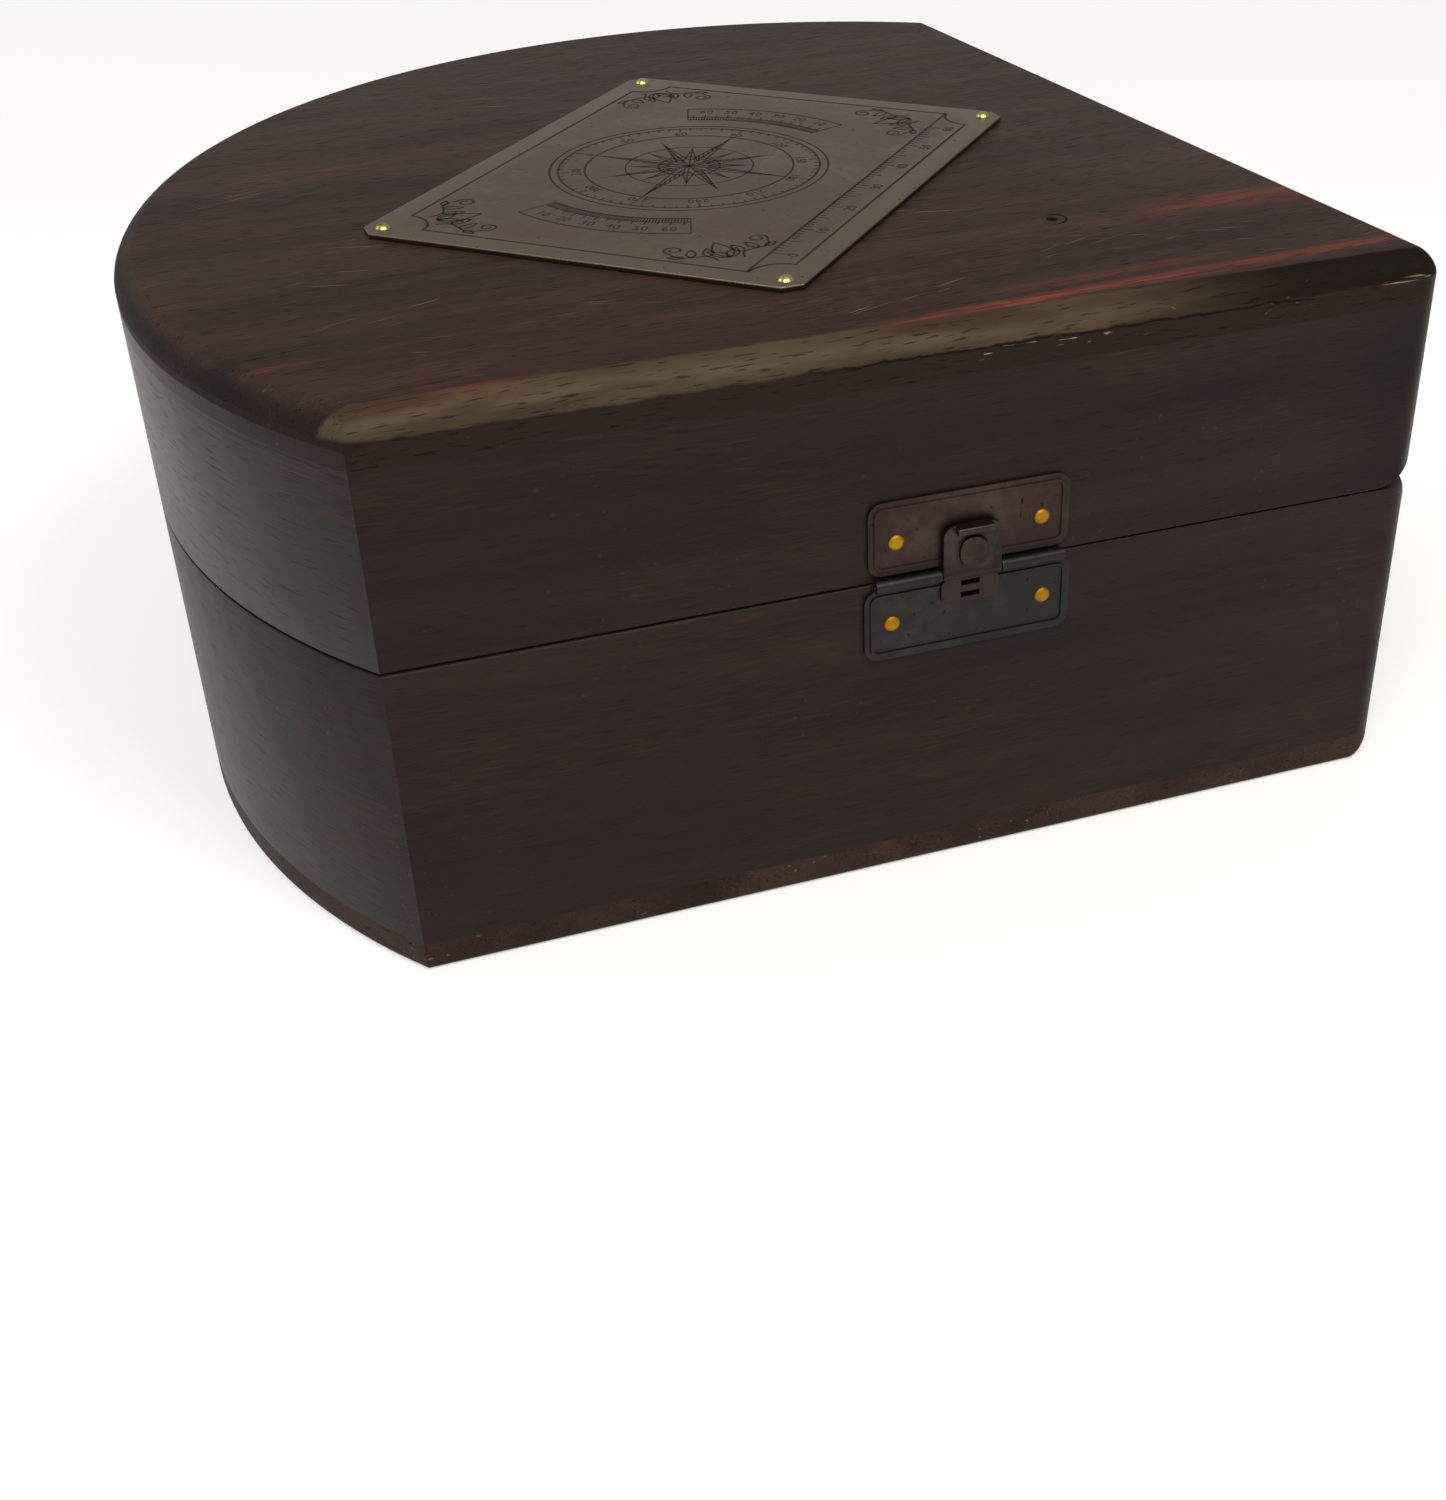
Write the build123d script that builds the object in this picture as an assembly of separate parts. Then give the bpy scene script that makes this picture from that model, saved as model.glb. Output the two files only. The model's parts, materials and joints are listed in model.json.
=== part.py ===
from build123d import *

import os
from math import cos, radians, sin, sqrt, tan

# A fan-shaped wooden case for a small sextant, with a hinged lid and a hasp latch.
#
# Millimetres, +Z up. The origin is under the middle of the case's footprint, and +X runs along the plan's
# line of symmetry, from the middle of the curved side to the apex where the two straight sides meet.
# The latch is on the straight side towards -Y, the two hinges are on the straight side towards +Y.

LATCH_SIDE = -1
HINGE_SIDE = 1

# ---------------------------------------------------------------- case plan
side_length = 131.0          # straight side, from the sharp apex to the corner with the curved side
apex_angle = 84.0            # between the two straight sides
curve_rise = 73.6            # from the line between the curved side's two corners to its middle
apex_rounding = 3.5          # radius of the upright edge at the apex
wall_thickness = 7.0

# ---------------------------------------------------------------- case heights
base_height = 41.0           # from the underside to the base's rim
lid_height = 30.0            # from the lid's rim to the top
seam_gap = 0.2               # between the two rims
bottom_board_thickness = 4.0
top_board_thickness = 6.0
top_roundover = 3.0          # upper edge of the top board
rim_easing = 0.3             # outer edges of the two rims
bottom_easing = 1.0          # lower edge of the bottom board
lid_apex_round = 3.0         # seen from the side, where the lid's rim runs out at the apex
base_apex_round = 2.2        # the same, at the base's rim
foot_apex_round = 2.8        # the same, under the bottom board

# ---------------------------------------------------------------- linings
glue_line = 0.1              # between a curved face and what is glued to it
wall_lining_thickness = 1.2
rim_margin = 2.5             # bare wood between the rim and the wall lining
floor_lining_thickness = 1.6
ceiling_lining_thickness = 3.0
lining_clearance = 0.3       # round a lining that lies between others

# ---------------------------------------------------------------- rests for the instrument
limb_rest_width = 26.0       # along the curved side
limb_rest_depth = 14.0
limb_rest_height = 15.0
limb_shelf_height = 11.0
limb_fence_depth = 5.0
limb_rest_angle = 38.0       # from the line of symmetry, round the curved side's centre
limb_rest_gap = 3.0          # to the wall lining
pivot_rest_size = 20.0
pivot_rest_height = 11.0
pivot_rest_gap = 3.0
cradle_length = 46.0
cradle_width = 30.0
cradle_height = 17.0
cradle_gap = 6.0             # to the pivot rest
trough_radius = 10.5
trough_depth = 8.0
rest_easing = 1.0
rest_felt_thickness = 1.0
rest_felt_margin = 1.0

# ---------------------------------------------------------------- plaque
plaque_width = 76.0          # across the line of symmetry
plaque_height = 59.0
plaque_thickness = 0.7
plaque_corner_cut = 2.0
plaque_place = 97.0          # centre, from the sharp apex
plaque_offset = 2.3          # centre, from the line of symmetry towards the latch
plaque_nail_inset = 2.5

# ---------------------------------------------------------------- nails
nail_clearance = 0.05        # round a shank in its hole
nail_hole_start = 1.5        # above the face that a hole is drilled in, past any sheet on it
nail_tip_cover = 1.2         # wood left past a nail's tip
nail_point_length = 1.4
plaque_head_diameter = 1.9
plaque_head_height = 0.6
side_head_diameter = 2.0      # on the latch and the hinges
side_head_height = 0.4
small_shank_diameter = 0.9
board_head_diameter = 3.0
board_head_height = 0.6
board_head_depth = 0.3       # under the bottom board's face
board_shank_diameter = 1.3
board_nail_bite = 12.0       # into the walls
board_nails_per_side = 3
board_nails_on_curve = 4
board_nail_end_gap = 18.0    # from a wall's end to its first nail

# ---------------------------------------------------------------- latch
latch_offset = 3.5           # centre, from the middle of its side towards the apex
latch_lower_width = 26.4
latch_upper_width = 25.4
latch_plate_height = 9.4
latch_sheet = 0.5
latch_corner_radius = 1.8
latch_nail_inset = 3.5       # from a latch plate's end
latch_upper_nail_drop = 0.6  # below the middle of the upper plate
latch_bead_inset = 0.7
latch_bead_width = 0.35
latch_bead_height = 0.2
latch_pin_diameter = 0.7
latch_barrel_wall = 0.35
latch_barrel_standoff = 0.2  # from the wall to the barrel
latch_plate_gap = 0.25       # from the barrel to the upper plate
running_clearance = 0.05     # round a pin in its barrel
knuckle_gap = 0.15           # between neighbouring knuckles
latch_knuckle_inset = 1.2    # from the lower plate's end to its knuckle
hasp_width = 7.4
hasp_reach = 6.4             # above the pin
hasp_sheet = 0.5
hasp_standoff = 0.35         # from the upper plate's bead to the hasp's back
hasp_shoulder_radius = 1.4
hasp_lip_height = 0.9
hasp_lip_length = 1.1
hasp_rib_width = 3.6
hasp_rib_height = 0.6
hasp_rib_bottom = 1.0        # above the pin
hasp_rib_top = 4.9
hasp_rib_corner = 1.6
catch_width = 1.8
catch_height = 1.2
catch_reach = 0.4            # out from the upper plate's face
catch_level = 2.95           # above the pin
boss_height = 3.1
boss_reach = 0.5
boss_wall = 0.5
slot_width = 2.4
slot_height = 0.7
slot_levels = [1.45, 3.0]    # below the pin

# ---------------------------------------------------------------- hinges
apex_hinge_place = 36.0      # centre, from the sharp apex
rear_hinge_place = 33.0      # centre, from the corner with the curved side
hinge_width = 24.0
hinge_leaf_height = 10.0
hinge_sheet = 0.8
hinge_corner_radius = 1.5
hinge_pin_diameter = 1.6
hinge_barrel_wall = 0.8
hinge_barrel_standoff = 0.25
hinge_middle_knuckle = 9.0
hinge_nail_spacing = 16.0
leaf_relief = 0.3            # from one leaf's edge to the other leaf's knuckle
pin_end_inset = 0.2

# ---------------------------------------------------------------- worked out
half_angle = radians(apex_angle / 2)
corner_reach = side_length * cos(half_angle)
corner_half_width = side_length * sin(half_angle)
arc_radius = (corner_half_width**2 + curve_rise**2) / (2 * curve_rise)
arc_center_reach = corner_reach + curve_rise - arc_radius
apex_recession = apex_rounding * (1 / sin(half_angle) - 1)
case_length = corner_reach + curve_rise - apex_recession
apex_x = case_length / 2 + apex_recession
arc_center_x = apex_x - arc_center_reach

floor_level = bottom_board_thickness
lid_rim = base_height + seam_gap
top_level = lid_rim + lid_height
ceiling_level = top_level - top_board_thickness
seam_level = base_height + seam_gap / 2
lined_inset = wall_thickness + glue_line + wall_lining_thickness

latch_place = side_length / 2 - latch_offset
latch_barrel_radius = latch_pin_diameter / 2 + running_clearance + latch_barrel_wall
latch_axis_out = latch_barrel_standoff + latch_barrel_radius
latch_end_knuckle = (latch_lower_width - hasp_width) / 2 - knuckle_gap - latch_knuckle_inset
hasp_back = latch_sheet + latch_bead_height + hasp_standoff
hinge_places = [apex_hinge_place, side_length - rear_hinge_place]
hinge_barrel_radius = hinge_pin_diameter / 2 + running_clearance + hinge_barrel_wall
hinge_axis_out = hinge_barrel_standoff + hinge_barrel_radius
hinge_end_knuckle = (hinge_width - hinge_middle_knuckle) / 2 - knuckle_gap
side_nail_length = wall_thickness - nail_tip_cover


# ---------------------------------------------------------------- helpers
def fan_corner(inset):
    """Place (x, half width) of the corner between a straight side and the curved side, moved in by inset."""
    tip_to_center = arc_center_reach - inset / sin(half_angle)
    radius = arc_radius - inset
    along = tip_to_center * cos(half_angle) + sqrt(radius**2 - (tip_to_center * sin(half_angle)) ** 2)
    return arc_center_x + tip_to_center - along * cos(half_angle), along * sin(half_angle)


def fan(inset, tip_radius=0.0):
    """Plan shape of the case as a face, with every side moved in by inset."""
    tip = (arc_center_x + arc_center_reach - inset / sin(half_angle), 0)
    corner_x, half_width = fan_corner(inset)
    back = (arc_center_x - arc_radius + inset, 0)
    outline = Curve() + [
        Line(tip, (corner_x, -half_width)),
        ThreePointArc((corner_x, -half_width), back, (corner_x, half_width)),
        Line((corner_x, half_width), tip),
    ]
    face = make_face(outline)
    if tip_radius > 0:
        face = fillet(face.vertices().sort_by(Axis.X)[-1], tip_radius)
    return face


def prism(face, bottom, top):
    """Solid over a flat face, from one level to another."""
    return extrude(Pos(0, 0, bottom) * face, top - bottom)


def block(width, depth, bottom, top, x=0.0, y=0.0):
    """Upright box centred on x and y."""
    return Pos(x, y, bottom) * Box(width, depth, top - bottom, align=(Align.CENTER, Align.CENTER, Align.MIN))


def side_plane(side, from_apex, level):
    """Plane on the outside of a straight wall: X to the right as seen from outside, Y up and Z outwards."""
    along = Vector(-cos(half_angle), side * sin(half_angle), 0)
    outward = Vector(sin(half_angle), side * cos(half_angle), 0)
    origin = Vector(apex_x, 0, level) + along * from_apex
    return Plane(origin=origin, x_dir=along * side, z_dir=outward)


def apex_round(level, inward, radius):
    """What a round takes off the apex at a level, with wood above that level (1) or below it (-1)."""
    tip_x = apex_x - apex_recession
    middle = (tip_x - radius, 0, level + inward * radius)
    corner = Pos(tip_x, 0, level + inward * radius / 2) * Box(2 * radius, 2 * wall_thickness, radius)
    return corner - Pos(*middle) * Rot(90, 0, 0) * Cylinder(radius, 2 * wall_thickness)


def mitre_plane(side):
    """Upright plane through the inner and outer corner of one side, facing the apex."""
    outer_x, outer_y = fan_corner(0)
    inner_x, inner_y = fan_corner(wall_thickness)
    normal = Vector(outer_y - inner_y, side * (inner_x - outer_x), 0)
    return Plane(origin=(outer_x, side * outer_y, 0), z_dir=normal)


def domed_nail(length, head_diameter, head_height):
    """Small nail with a domed head on Z = 0 and its shank below."""
    shank = small_shank_diameter / 2
    head = head_diameter / 2
    dome = (head**2 + head_height**2) / (2 * head_height)
    outline = Curve() + [
        Line((0, 0, -length), (shank, 0, nail_point_length - length)),
        Line((shank, 0, nail_point_length - length), (shank, 0, 0)),
        Line((shank, 0, 0), (head, 0, 0)),
        ThreePointArc(
            (head, 0, 0),
            (head / 2, 0, sqrt(dome**2 - (head / 2) ** 2) - dome + head_height),
            (0, 0, head_height),
        ),
        Line((0, 0, head_height), (0, 0, -length)),
    ]
    return revolve(make_face(outline), Axis.Z)


def nail_hole(depth):
    """Round hole for a small nail, through any sheet on Z = 0 and down to depth."""
    radius = small_shank_diameter / 2 + nail_clearance
    up = (Align.CENTER, Align.CENTER, Align.MIN)
    return Pos(0, 0, -depth) * Cylinder(radius, depth + nail_hole_start, align=up)


def rounded_sheet(width, bottom, top, thickness, corner_radius):
    """Flat plate lying on Z = 0, between two levels of Y, with rounded corners."""
    middle = (bottom + top) / 2
    return extrude(Pos(0, middle) * RectangleRounded(width, top - bottom, corner_radius), thickness)


def lying_tube(radius, length, x, out):
    """Cylinder along X at a distance out from the wall, on Y = 0."""
    return Pos(x, 0, out) * Rot(0, 90, 0) * Cylinder(radius, length)


def group(solids):
    """Separate solids kept together in one node."""
    return Compound(children=list(solids))


# ---------------------------------------------------------------- nail places
latch_upper_nail_x = latch_upper_width / 2 - latch_nail_inset
latch_lower_nail_x = latch_lower_width / 2 - latch_nail_inset
latch_upper_bottom = latch_barrel_radius + latch_plate_gap
latch_upper_top = latch_upper_bottom + latch_plate_height
latch_lower_bottom = -latch_plate_height - latch_barrel_radius
latch_upper_nail_y = (latch_upper_bottom + latch_upper_top) / 2 - latch_upper_nail_drop
latch_lower_nail_y = (latch_lower_bottom - latch_barrel_radius) / 2
hinge_nail_x = [-hinge_nail_spacing / 2, hinge_nail_spacing / 2]
hinge_nail_y = (hinge_barrel_radius + leaf_relief + hinge_leaf_height) / 2


def latch_nail_spots(reach, level):
    plane = side_plane(LATCH_SIDE, latch_place, seam_level)
    return [plane * Pos(x, level, 0) for x in (-reach, reach)]


def hinge_nail_spots(level):
    planes = [side_plane(HINGE_SIDE, place, seam_level) for place in hinge_places]
    return [plane * Pos(x, level, 0) for plane in planes for x in hinge_nail_x]


def plaque_center():
    return Pos(apex_x - plaque_place, LATCH_SIDE * plaque_offset, top_level)


def plaque_nail_spots():
    x_reach = plaque_height / 2 - plaque_nail_inset
    y_reach = plaque_width / 2 - plaque_nail_inset
    center = plaque_center()
    return [center * Pos(x, y, 0) for x in (-x_reach, x_reach) for y in (-y_reach, y_reach)]


def board_nail_spots():
    """Middle of the walls' thickness, seen from below."""
    spots = []
    run = side_length - 2 * board_nail_end_gap
    for side in (LATCH_SIDE, HINGE_SIDE):
        for index in range(board_nails_per_side):
            from_apex = board_nail_end_gap + run * index / (board_nails_per_side - 1)
            spots.append(side_plane(side, from_apex, 0) * Pos(0, 0, -wall_thickness / 2))
    corner_x, half_width = fan_corner(wall_thickness / 2)
    sweep = 180 - Vector(corner_x - arc_center_x, half_width, 0).get_angle(Vector(1, 0, 0))
    for index in range(board_nails_on_curve):
        angle = 180 - sweep + 2 * sweep * (index + 0.5) / board_nails_on_curve
        spots.append(Pos(arc_center_x, 0, 0) * Rot(0, 0, angle) * Pos(arc_radius - wall_thickness / 2, 0, 0))
    return [Pos(*spot.position) for spot in spots]


# ---------------------------------------------------------------- wooden case
def mitred_walls(bottom, top, rim, rim_round):
    """Latch-side, hinge-side and curved wall of half the case, eased at the rim and rounded at the apex."""
    outside = prism(fan(0, apex_rounding), bottom, top)
    outside = fillet(outside.edges().filter_by_position(Axis.Z, rim, rim), rim_easing)
    outside -= rim_round
    ring = outside - prism(fan(wall_thickness), bottom, top)
    straight = {}
    for side in (LATCH_SIDE, HINGE_SIDE):
        half = split(ring, bisect_by=Plane(origin=(0, 0, 0), z_dir=(0, side, 0)), keep=Keep.TOP)
        straight[side] = split(half, bisect_by=mitre_plane(side), keep=Keep.TOP)
    curved = ring - straight[LATCH_SIDE] - straight[HINGE_SIDE]
    return straight[LATCH_SIDE], straight[HINGE_SIDE], curved


def board_nail_hole():
    radius = board_shank_diameter / 2 + nail_clearance
    head_radius = board_head_diameter / 2 + nail_clearance
    up = (Align.CENTER, Align.CENTER, Align.MIN)
    shank = Cylinder(radius, bottom_board_thickness + board_nail_bite + nail_clearance, align=up)
    return shank + Cylinder(head_radius, board_head_depth + board_head_height + nail_clearance, align=up)


def board_nail():
    """Flat-headed nail through the bottom board into a wall."""
    up = (Align.CENTER, Align.CENTER, Align.MIN)
    head = Pos(0, 0, board_head_depth) * Cylinder(board_head_diameter / 2, board_head_height, align=up)
    shank_top = bottom_board_thickness + board_nail_bite - nail_point_length
    shank = Pos(0, 0, board_head_depth) * Cylinder(board_shank_diameter / 2, shank_top - board_head_depth, align=up)
    point = Pos(0, 0, shank_top) * Cone(board_shank_diameter / 2, 0, nail_point_length, align=up)
    return head + shank + point


def make_base_walls():
    rim_round = apex_round(base_height, -1, base_apex_round)
    latch_wall, hinge_wall, curved_wall = mitred_walls(floor_level, base_height, base_height, rim_round)
    board_holes = [spot * board_nail_hole() for spot in board_nail_spots()]
    nail_spots = latch_nail_spots(latch_lower_nail_x, latch_lower_nail_y)
    latch_wall -= [spot * nail_hole(side_nail_length) for spot in nail_spots]
    hinge_wall -= [spot * nail_hole(side_nail_length) for spot in hinge_nail_spots(-hinge_nail_y)]
    return latch_wall - board_holes, hinge_wall - board_holes, curved_wall - board_holes


def make_lid_walls():
    rim_round = apex_round(lid_rim, 1, lid_apex_round)
    latch_wall, hinge_wall, curved_wall = mitred_walls(lid_rim, ceiling_level, lid_rim, rim_round)
    nail_spots = latch_nail_spots(latch_upper_nail_x, latch_upper_nail_y)
    latch_wall -= [spot * nail_hole(side_nail_length) for spot in nail_spots]
    hinge_wall -= [spot * nail_hole(side_nail_length) for spot in hinge_nail_spots(hinge_nail_y)]
    return latch_wall, hinge_wall, curved_wall


def make_bottom_board():
    board = prism(fan(0, apex_rounding), 0, floor_level)
    board = fillet(board.edges().filter_by_position(Axis.Z, 0, 0), bottom_easing)
    board -= apex_round(0, 1, foot_apex_round)
    return board - [spot * board_nail_hole() for spot in board_nail_spots()]


def make_top_board():
    board = prism(fan(0, apex_rounding), ceiling_level, top_level)
    board = fillet(board.edges().filter_by_position(Axis.Z, top_level, top_level), top_roundover)
    depth = top_board_thickness - nail_tip_cover
    return board - [spot * nail_hole(depth) for spot in plaque_nail_spots()]


# ---------------------------------------------------------------- rests and linings
def limb_rest_spots():
    radius = arc_radius - lined_inset - limb_rest_gap - limb_rest_depth / 2
    center = Pos(arc_center_x, 0, floor_level)
    return [center * Rot(0, 0, 180 + angle) * Pos(radius, 0, 0) for angle in (-limb_rest_angle, limb_rest_angle)]


def pivot_rest_x():
    tip = arc_center_x + arc_center_reach - lined_inset / sin(half_angle)
    return tip - (pivot_rest_size / 2 + pivot_rest_gap) / tan(half_angle) - pivot_rest_size / 2


def cradle_x():
    return pivot_rest_x() - (pivot_rest_size + cradle_length) / 2 - cradle_gap


def rest_footprints(clearance):
    """Boxes that the rests stand in, from the floor up, grown by a clearance all round."""
    grow = 2 * clearance
    boxes = [
        spot * block(limb_rest_depth + grow, limb_rest_width + grow, 0, limb_rest_height)
        for spot in limb_rest_spots()
    ]
    side = pivot_rest_size + grow
    boxes.append(block(side, side, floor_level, floor_level + pivot_rest_height, pivot_rest_x()))
    length = cradle_length + grow
    width = cradle_width + grow
    boxes.append(block(length, width, floor_level, floor_level + cradle_height, cradle_x()))
    return boxes


def make_limb_rests():
    """Two stepped blocks near the curved side: a shelf for the instrument's limb and a fence behind it."""
    rest = block(limb_rest_depth, limb_rest_width, 0, limb_rest_height)
    rest = chamfer(rest.edges().group_by(Axis.Z)[-1], rest_easing)
    shelf_depth = limb_rest_depth - limb_fence_depth
    rest -= block(shelf_depth, limb_rest_width, limb_shelf_height, limb_rest_height, -limb_fence_depth / 2)
    return group(spot * rest for spot in limb_rest_spots())


def make_pivot_rest():
    top = floor_level + pivot_rest_height
    rest = block(pivot_rest_size, pivot_rest_size, floor_level, top, pivot_rest_x())
    return chamfer(rest.edges().group_by(Axis.Z)[-1], rest_easing)


def make_handle_cradle():
    """Block with a round trough along the line of symmetry for the instrument's handle."""
    top = floor_level + cradle_height
    cradle = block(cradle_length, cradle_width, floor_level, top, cradle_x())
    cradle = chamfer(cradle.edges().group_by(Axis.Z)[-1], rest_easing)
    trough = Rot(0, 90, 0) * Cylinder(trough_radius, cradle_length)
    return cradle - Pos(cradle_x(), 0, top + trough_radius - trough_depth) * trough


def make_rest_felts():
    """Felt on the two shelves and on the rest under the pivot."""
    shelf_depth = limb_rest_depth - limb_fence_depth
    felt_top = limb_shelf_height + rest_felt_thickness
    felt = block(
        shelf_depth - 2 * rest_felt_margin,
        limb_rest_width - 2 * rest_felt_margin,
        limb_shelf_height,
        felt_top,
        -limb_fence_depth / 2,
    )
    pivot_side = pivot_rest_size - 2 * (rest_easing + rest_felt_margin)
    pivot_top = floor_level + pivot_rest_height
    pivot_felt = block(pivot_side, pivot_side, pivot_top, pivot_top + rest_felt_thickness, pivot_rest_x())
    return group([spot * felt for spot in limb_rest_spots()] + [pivot_felt])


def make_floor_lining():
    lining = prism(fan(lined_inset + lining_clearance), floor_level, floor_level + floor_lining_thickness)
    return lining - rest_footprints(lining_clearance)


def lining_ring(bottom, top):
    outside = prism(fan(wall_thickness + glue_line), bottom, top)
    return outside - prism(fan(lined_inset), bottom, top)


def make_ceiling_lining():
    bottom = ceiling_level - ceiling_lining_thickness
    lining = prism(fan(lined_inset + lining_clearance), bottom, ceiling_level)
    return fillet(lining.edges().group_by(Axis.Z)[0], ceiling_lining_thickness / 2)


# ---------------------------------------------------------------- plaque
def make_plaque():
    sheet = Rectangle(plaque_height, plaque_width)
    sheet = chamfer(sheet.vertices(), plaque_corner_cut)
    plaque = plaque_center() * extrude(sheet, plaque_thickness)
    return plaque - [spot * nail_hole(0) for spot in plaque_nail_spots()]


# ---------------------------------------------------------------- latch
def latch_bead(width, bottom, top):
    """Raised line a little way in from a latch plate's edge."""
    inner = latch_bead_inset + latch_bead_width
    face = latch_sheet + latch_bead_height
    outside = rounded_sheet(
        width - 2 * latch_bead_inset,
        bottom + latch_bead_inset,
        top - latch_bead_inset,
        face,
        latch_corner_radius - latch_bead_inset,
    )
    inside = rounded_sheet(
        width - 2 * inner, bottom + inner, top - inner, face, latch_corner_radius - inner
    )
    return outside - inside


def latch_nail_holes(reach, level):
    """Clear holes for the two nails of a latch plate."""
    return [Pos(x, level, 0) * nail_hole(0) for x in (-reach, reach)]


def make_latch_upper_plate():
    """Plate on the lid, with the raised catch that the hasp springs over."""
    bottom = latch_upper_bottom
    top = latch_upper_top
    plate = rounded_sheet(latch_upper_width, bottom, top, latch_sheet, latch_corner_radius)
    plate += latch_bead(latch_upper_width, bottom, top)
    catch = block(catch_width, catch_height, 0, latch_sheet + catch_reach, 0, catch_level)
    catch = fillet(catch.edges().group_by(Axis.Z)[-1], catch_reach / 2)
    plate += catch
    plate -= latch_nail_holes(latch_upper_nail_x, latch_upper_nail_y)
    return side_plane(LATCH_SIDE, latch_place, seam_level) * plate


def make_latch_lower_plate():
    """Plate on the base, rolled over at the top into the two end knuckles, with a slotted boss below them."""
    bottom = latch_lower_bottom
    top = -latch_barrel_radius
    plate = rounded_sheet(latch_lower_width, bottom, top, latch_sheet, latch_corner_radius)
    plate += latch_bead(latch_lower_width, bottom, top)
    boss_top = top - running_clearance
    boss = block(hasp_width, boss_height, 0, latch_sheet + boss_reach, 0, boss_top - boss_height / 2)
    boss = fillet(boss.edges().filter_by(Axis.Z), latch_corner_radius / 2)
    plate += boss
    hollow_width = hasp_width - 2 * boss_wall
    hollow_height = boss_height - 2 * boss_wall
    plate -= block(hollow_width, hollow_height, 0, boss_reach, 0, boss_top - boss_height / 2)
    for level in slot_levels:
        plate -= block(slot_width, slot_height, 0, latch_sheet + 2 * boss_reach, 0, -level)
    knuckle_x = latch_lower_width / 2 - latch_knuckle_inset - latch_end_knuckle / 2
    for x in (-knuckle_x, knuckle_x):
        plate += lying_tube(latch_barrel_radius, latch_end_knuckle, x, latch_axis_out)
        plate += block(
            latch_end_knuckle, latch_barrel_radius + latch_corner_radius, 0, latch_sheet, x,
            -(latch_barrel_radius + latch_corner_radius) / 2,
        )
    plate -= lying_tube(latch_pin_diameter / 2 + running_clearance, latch_lower_width, 0, latch_axis_out)
    plate -= latch_nail_holes(latch_lower_nail_x, latch_lower_nail_y)
    return side_plane(LATCH_SIDE, latch_place, seam_level) * plate


def make_latch_pin():
    length = latch_lower_width - 2 * (latch_knuckle_inset + pin_end_inset)
    pin = lying_tube(latch_pin_diameter / 2, length, 0, latch_axis_out)
    return side_plane(LATCH_SIDE, latch_place, seam_level) * pin


def make_hasp():
    """Sprung tongue that turns on the pin between the end knuckles and stands up over the catch."""
    front = hasp_back + hasp_sheet
    tongue = Pos(0, 0, hasp_back) * rounded_sheet(hasp_width, 0, hasp_reach, hasp_sheet, hasp_shoulder_radius)
    foot_height = hasp_reach / 2
    tongue += block(hasp_width, foot_height, hasp_back, front, 0, foot_height / 2)
    tongue += lying_tube(latch_barrel_radius, hasp_width, 0, latch_axis_out)
    rib = rounded_sheet(
        hasp_rib_width, hasp_rib_bottom, hasp_rib_top, hasp_sheet + hasp_rib_height, hasp_rib_corner
    )
    tongue += Pos(0, 0, hasp_back) * fillet(rib.edges().group_by(Axis.Z)[-1], hasp_rib_height / 2)
    tongue -= Pos(0, 0, hasp_back) * rounded_sheet(
        hasp_rib_width - 2 * hasp_sheet,
        hasp_rib_bottom + hasp_sheet,
        hasp_rib_top - hasp_sheet,
        hasp_rib_height,
        hasp_rib_corner - hasp_sheet,
    )
    lip_width = hasp_width - 2 * hasp_shoulder_radius
    lip_out = front + hasp_lip_length
    lip = block(lip_width, hasp_lip_height, hasp_back, lip_out, 0, hasp_reach - hasp_lip_height / 2)
    tongue += fillet(lip.edges().group_by(Axis.Z)[-1].filter_by(Axis.X), hasp_lip_height / 3)
    tongue -= lying_tube(latch_pin_diameter / 2 + running_clearance, hasp_width, 0, latch_axis_out)
    return side_plane(LATCH_SIDE, latch_place, seam_level) * tongue


# ---------------------------------------------------------------- hinges
def hinge_leaf(direction, knuckles, relieved):
    """Leaf going up (1) or down (-1) from the barrel.

    knuckles and relieved are lists of (centre, length): its own knuckles, and those of the other leaf.
    """
    near = 0
    far = direction * hinge_leaf_height
    leaf = rounded_sheet(hinge_width, min(near, far), max(near, far), hinge_sheet, hinge_corner_radius)
    square_height = hinge_leaf_height / 2
    leaf += block(hinge_width, square_height, 0, hinge_sheet, 0, direction * square_height / 2)
    clear_height = hinge_barrel_radius + leaf_relief
    for x, length in relieved:
        width = length + 2 * knuckle_gap
        leaf -= block(width, 2 * clear_height, 0, hinge_axis_out, x, 0)
    for x, length in knuckles:
        leaf += lying_tube(hinge_barrel_radius, length, x, hinge_axis_out)
    leaf -= lying_tube(hinge_pin_diameter / 2 + running_clearance, hinge_width, 0, hinge_axis_out)
    return leaf - [Pos(x, direction * hinge_nail_y, 0) * nail_hole(0) for x in hinge_nail_x]


def make_hinge(place):
    """Base leaf with the two end knuckles, lid leaf with the middle one, and the pin, at one place."""
    plane = side_plane(HINGE_SIDE, place, seam_level)
    end_x = (hinge_width - hinge_end_knuckle) / 2
    ends = [(-end_x, hinge_end_knuckle), (end_x, hinge_end_knuckle)]
    middle = [(0, hinge_middle_knuckle)]
    base_leaf = plane * hinge_leaf(-1, ends, middle)
    lid_leaf = plane * hinge_leaf(1, middle, ends)
    pin = plane * lying_tube(hinge_pin_diameter / 2, hinge_width - 2 * pin_end_inset, 0, hinge_axis_out)
    return base_leaf, lid_leaf, pin


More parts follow.
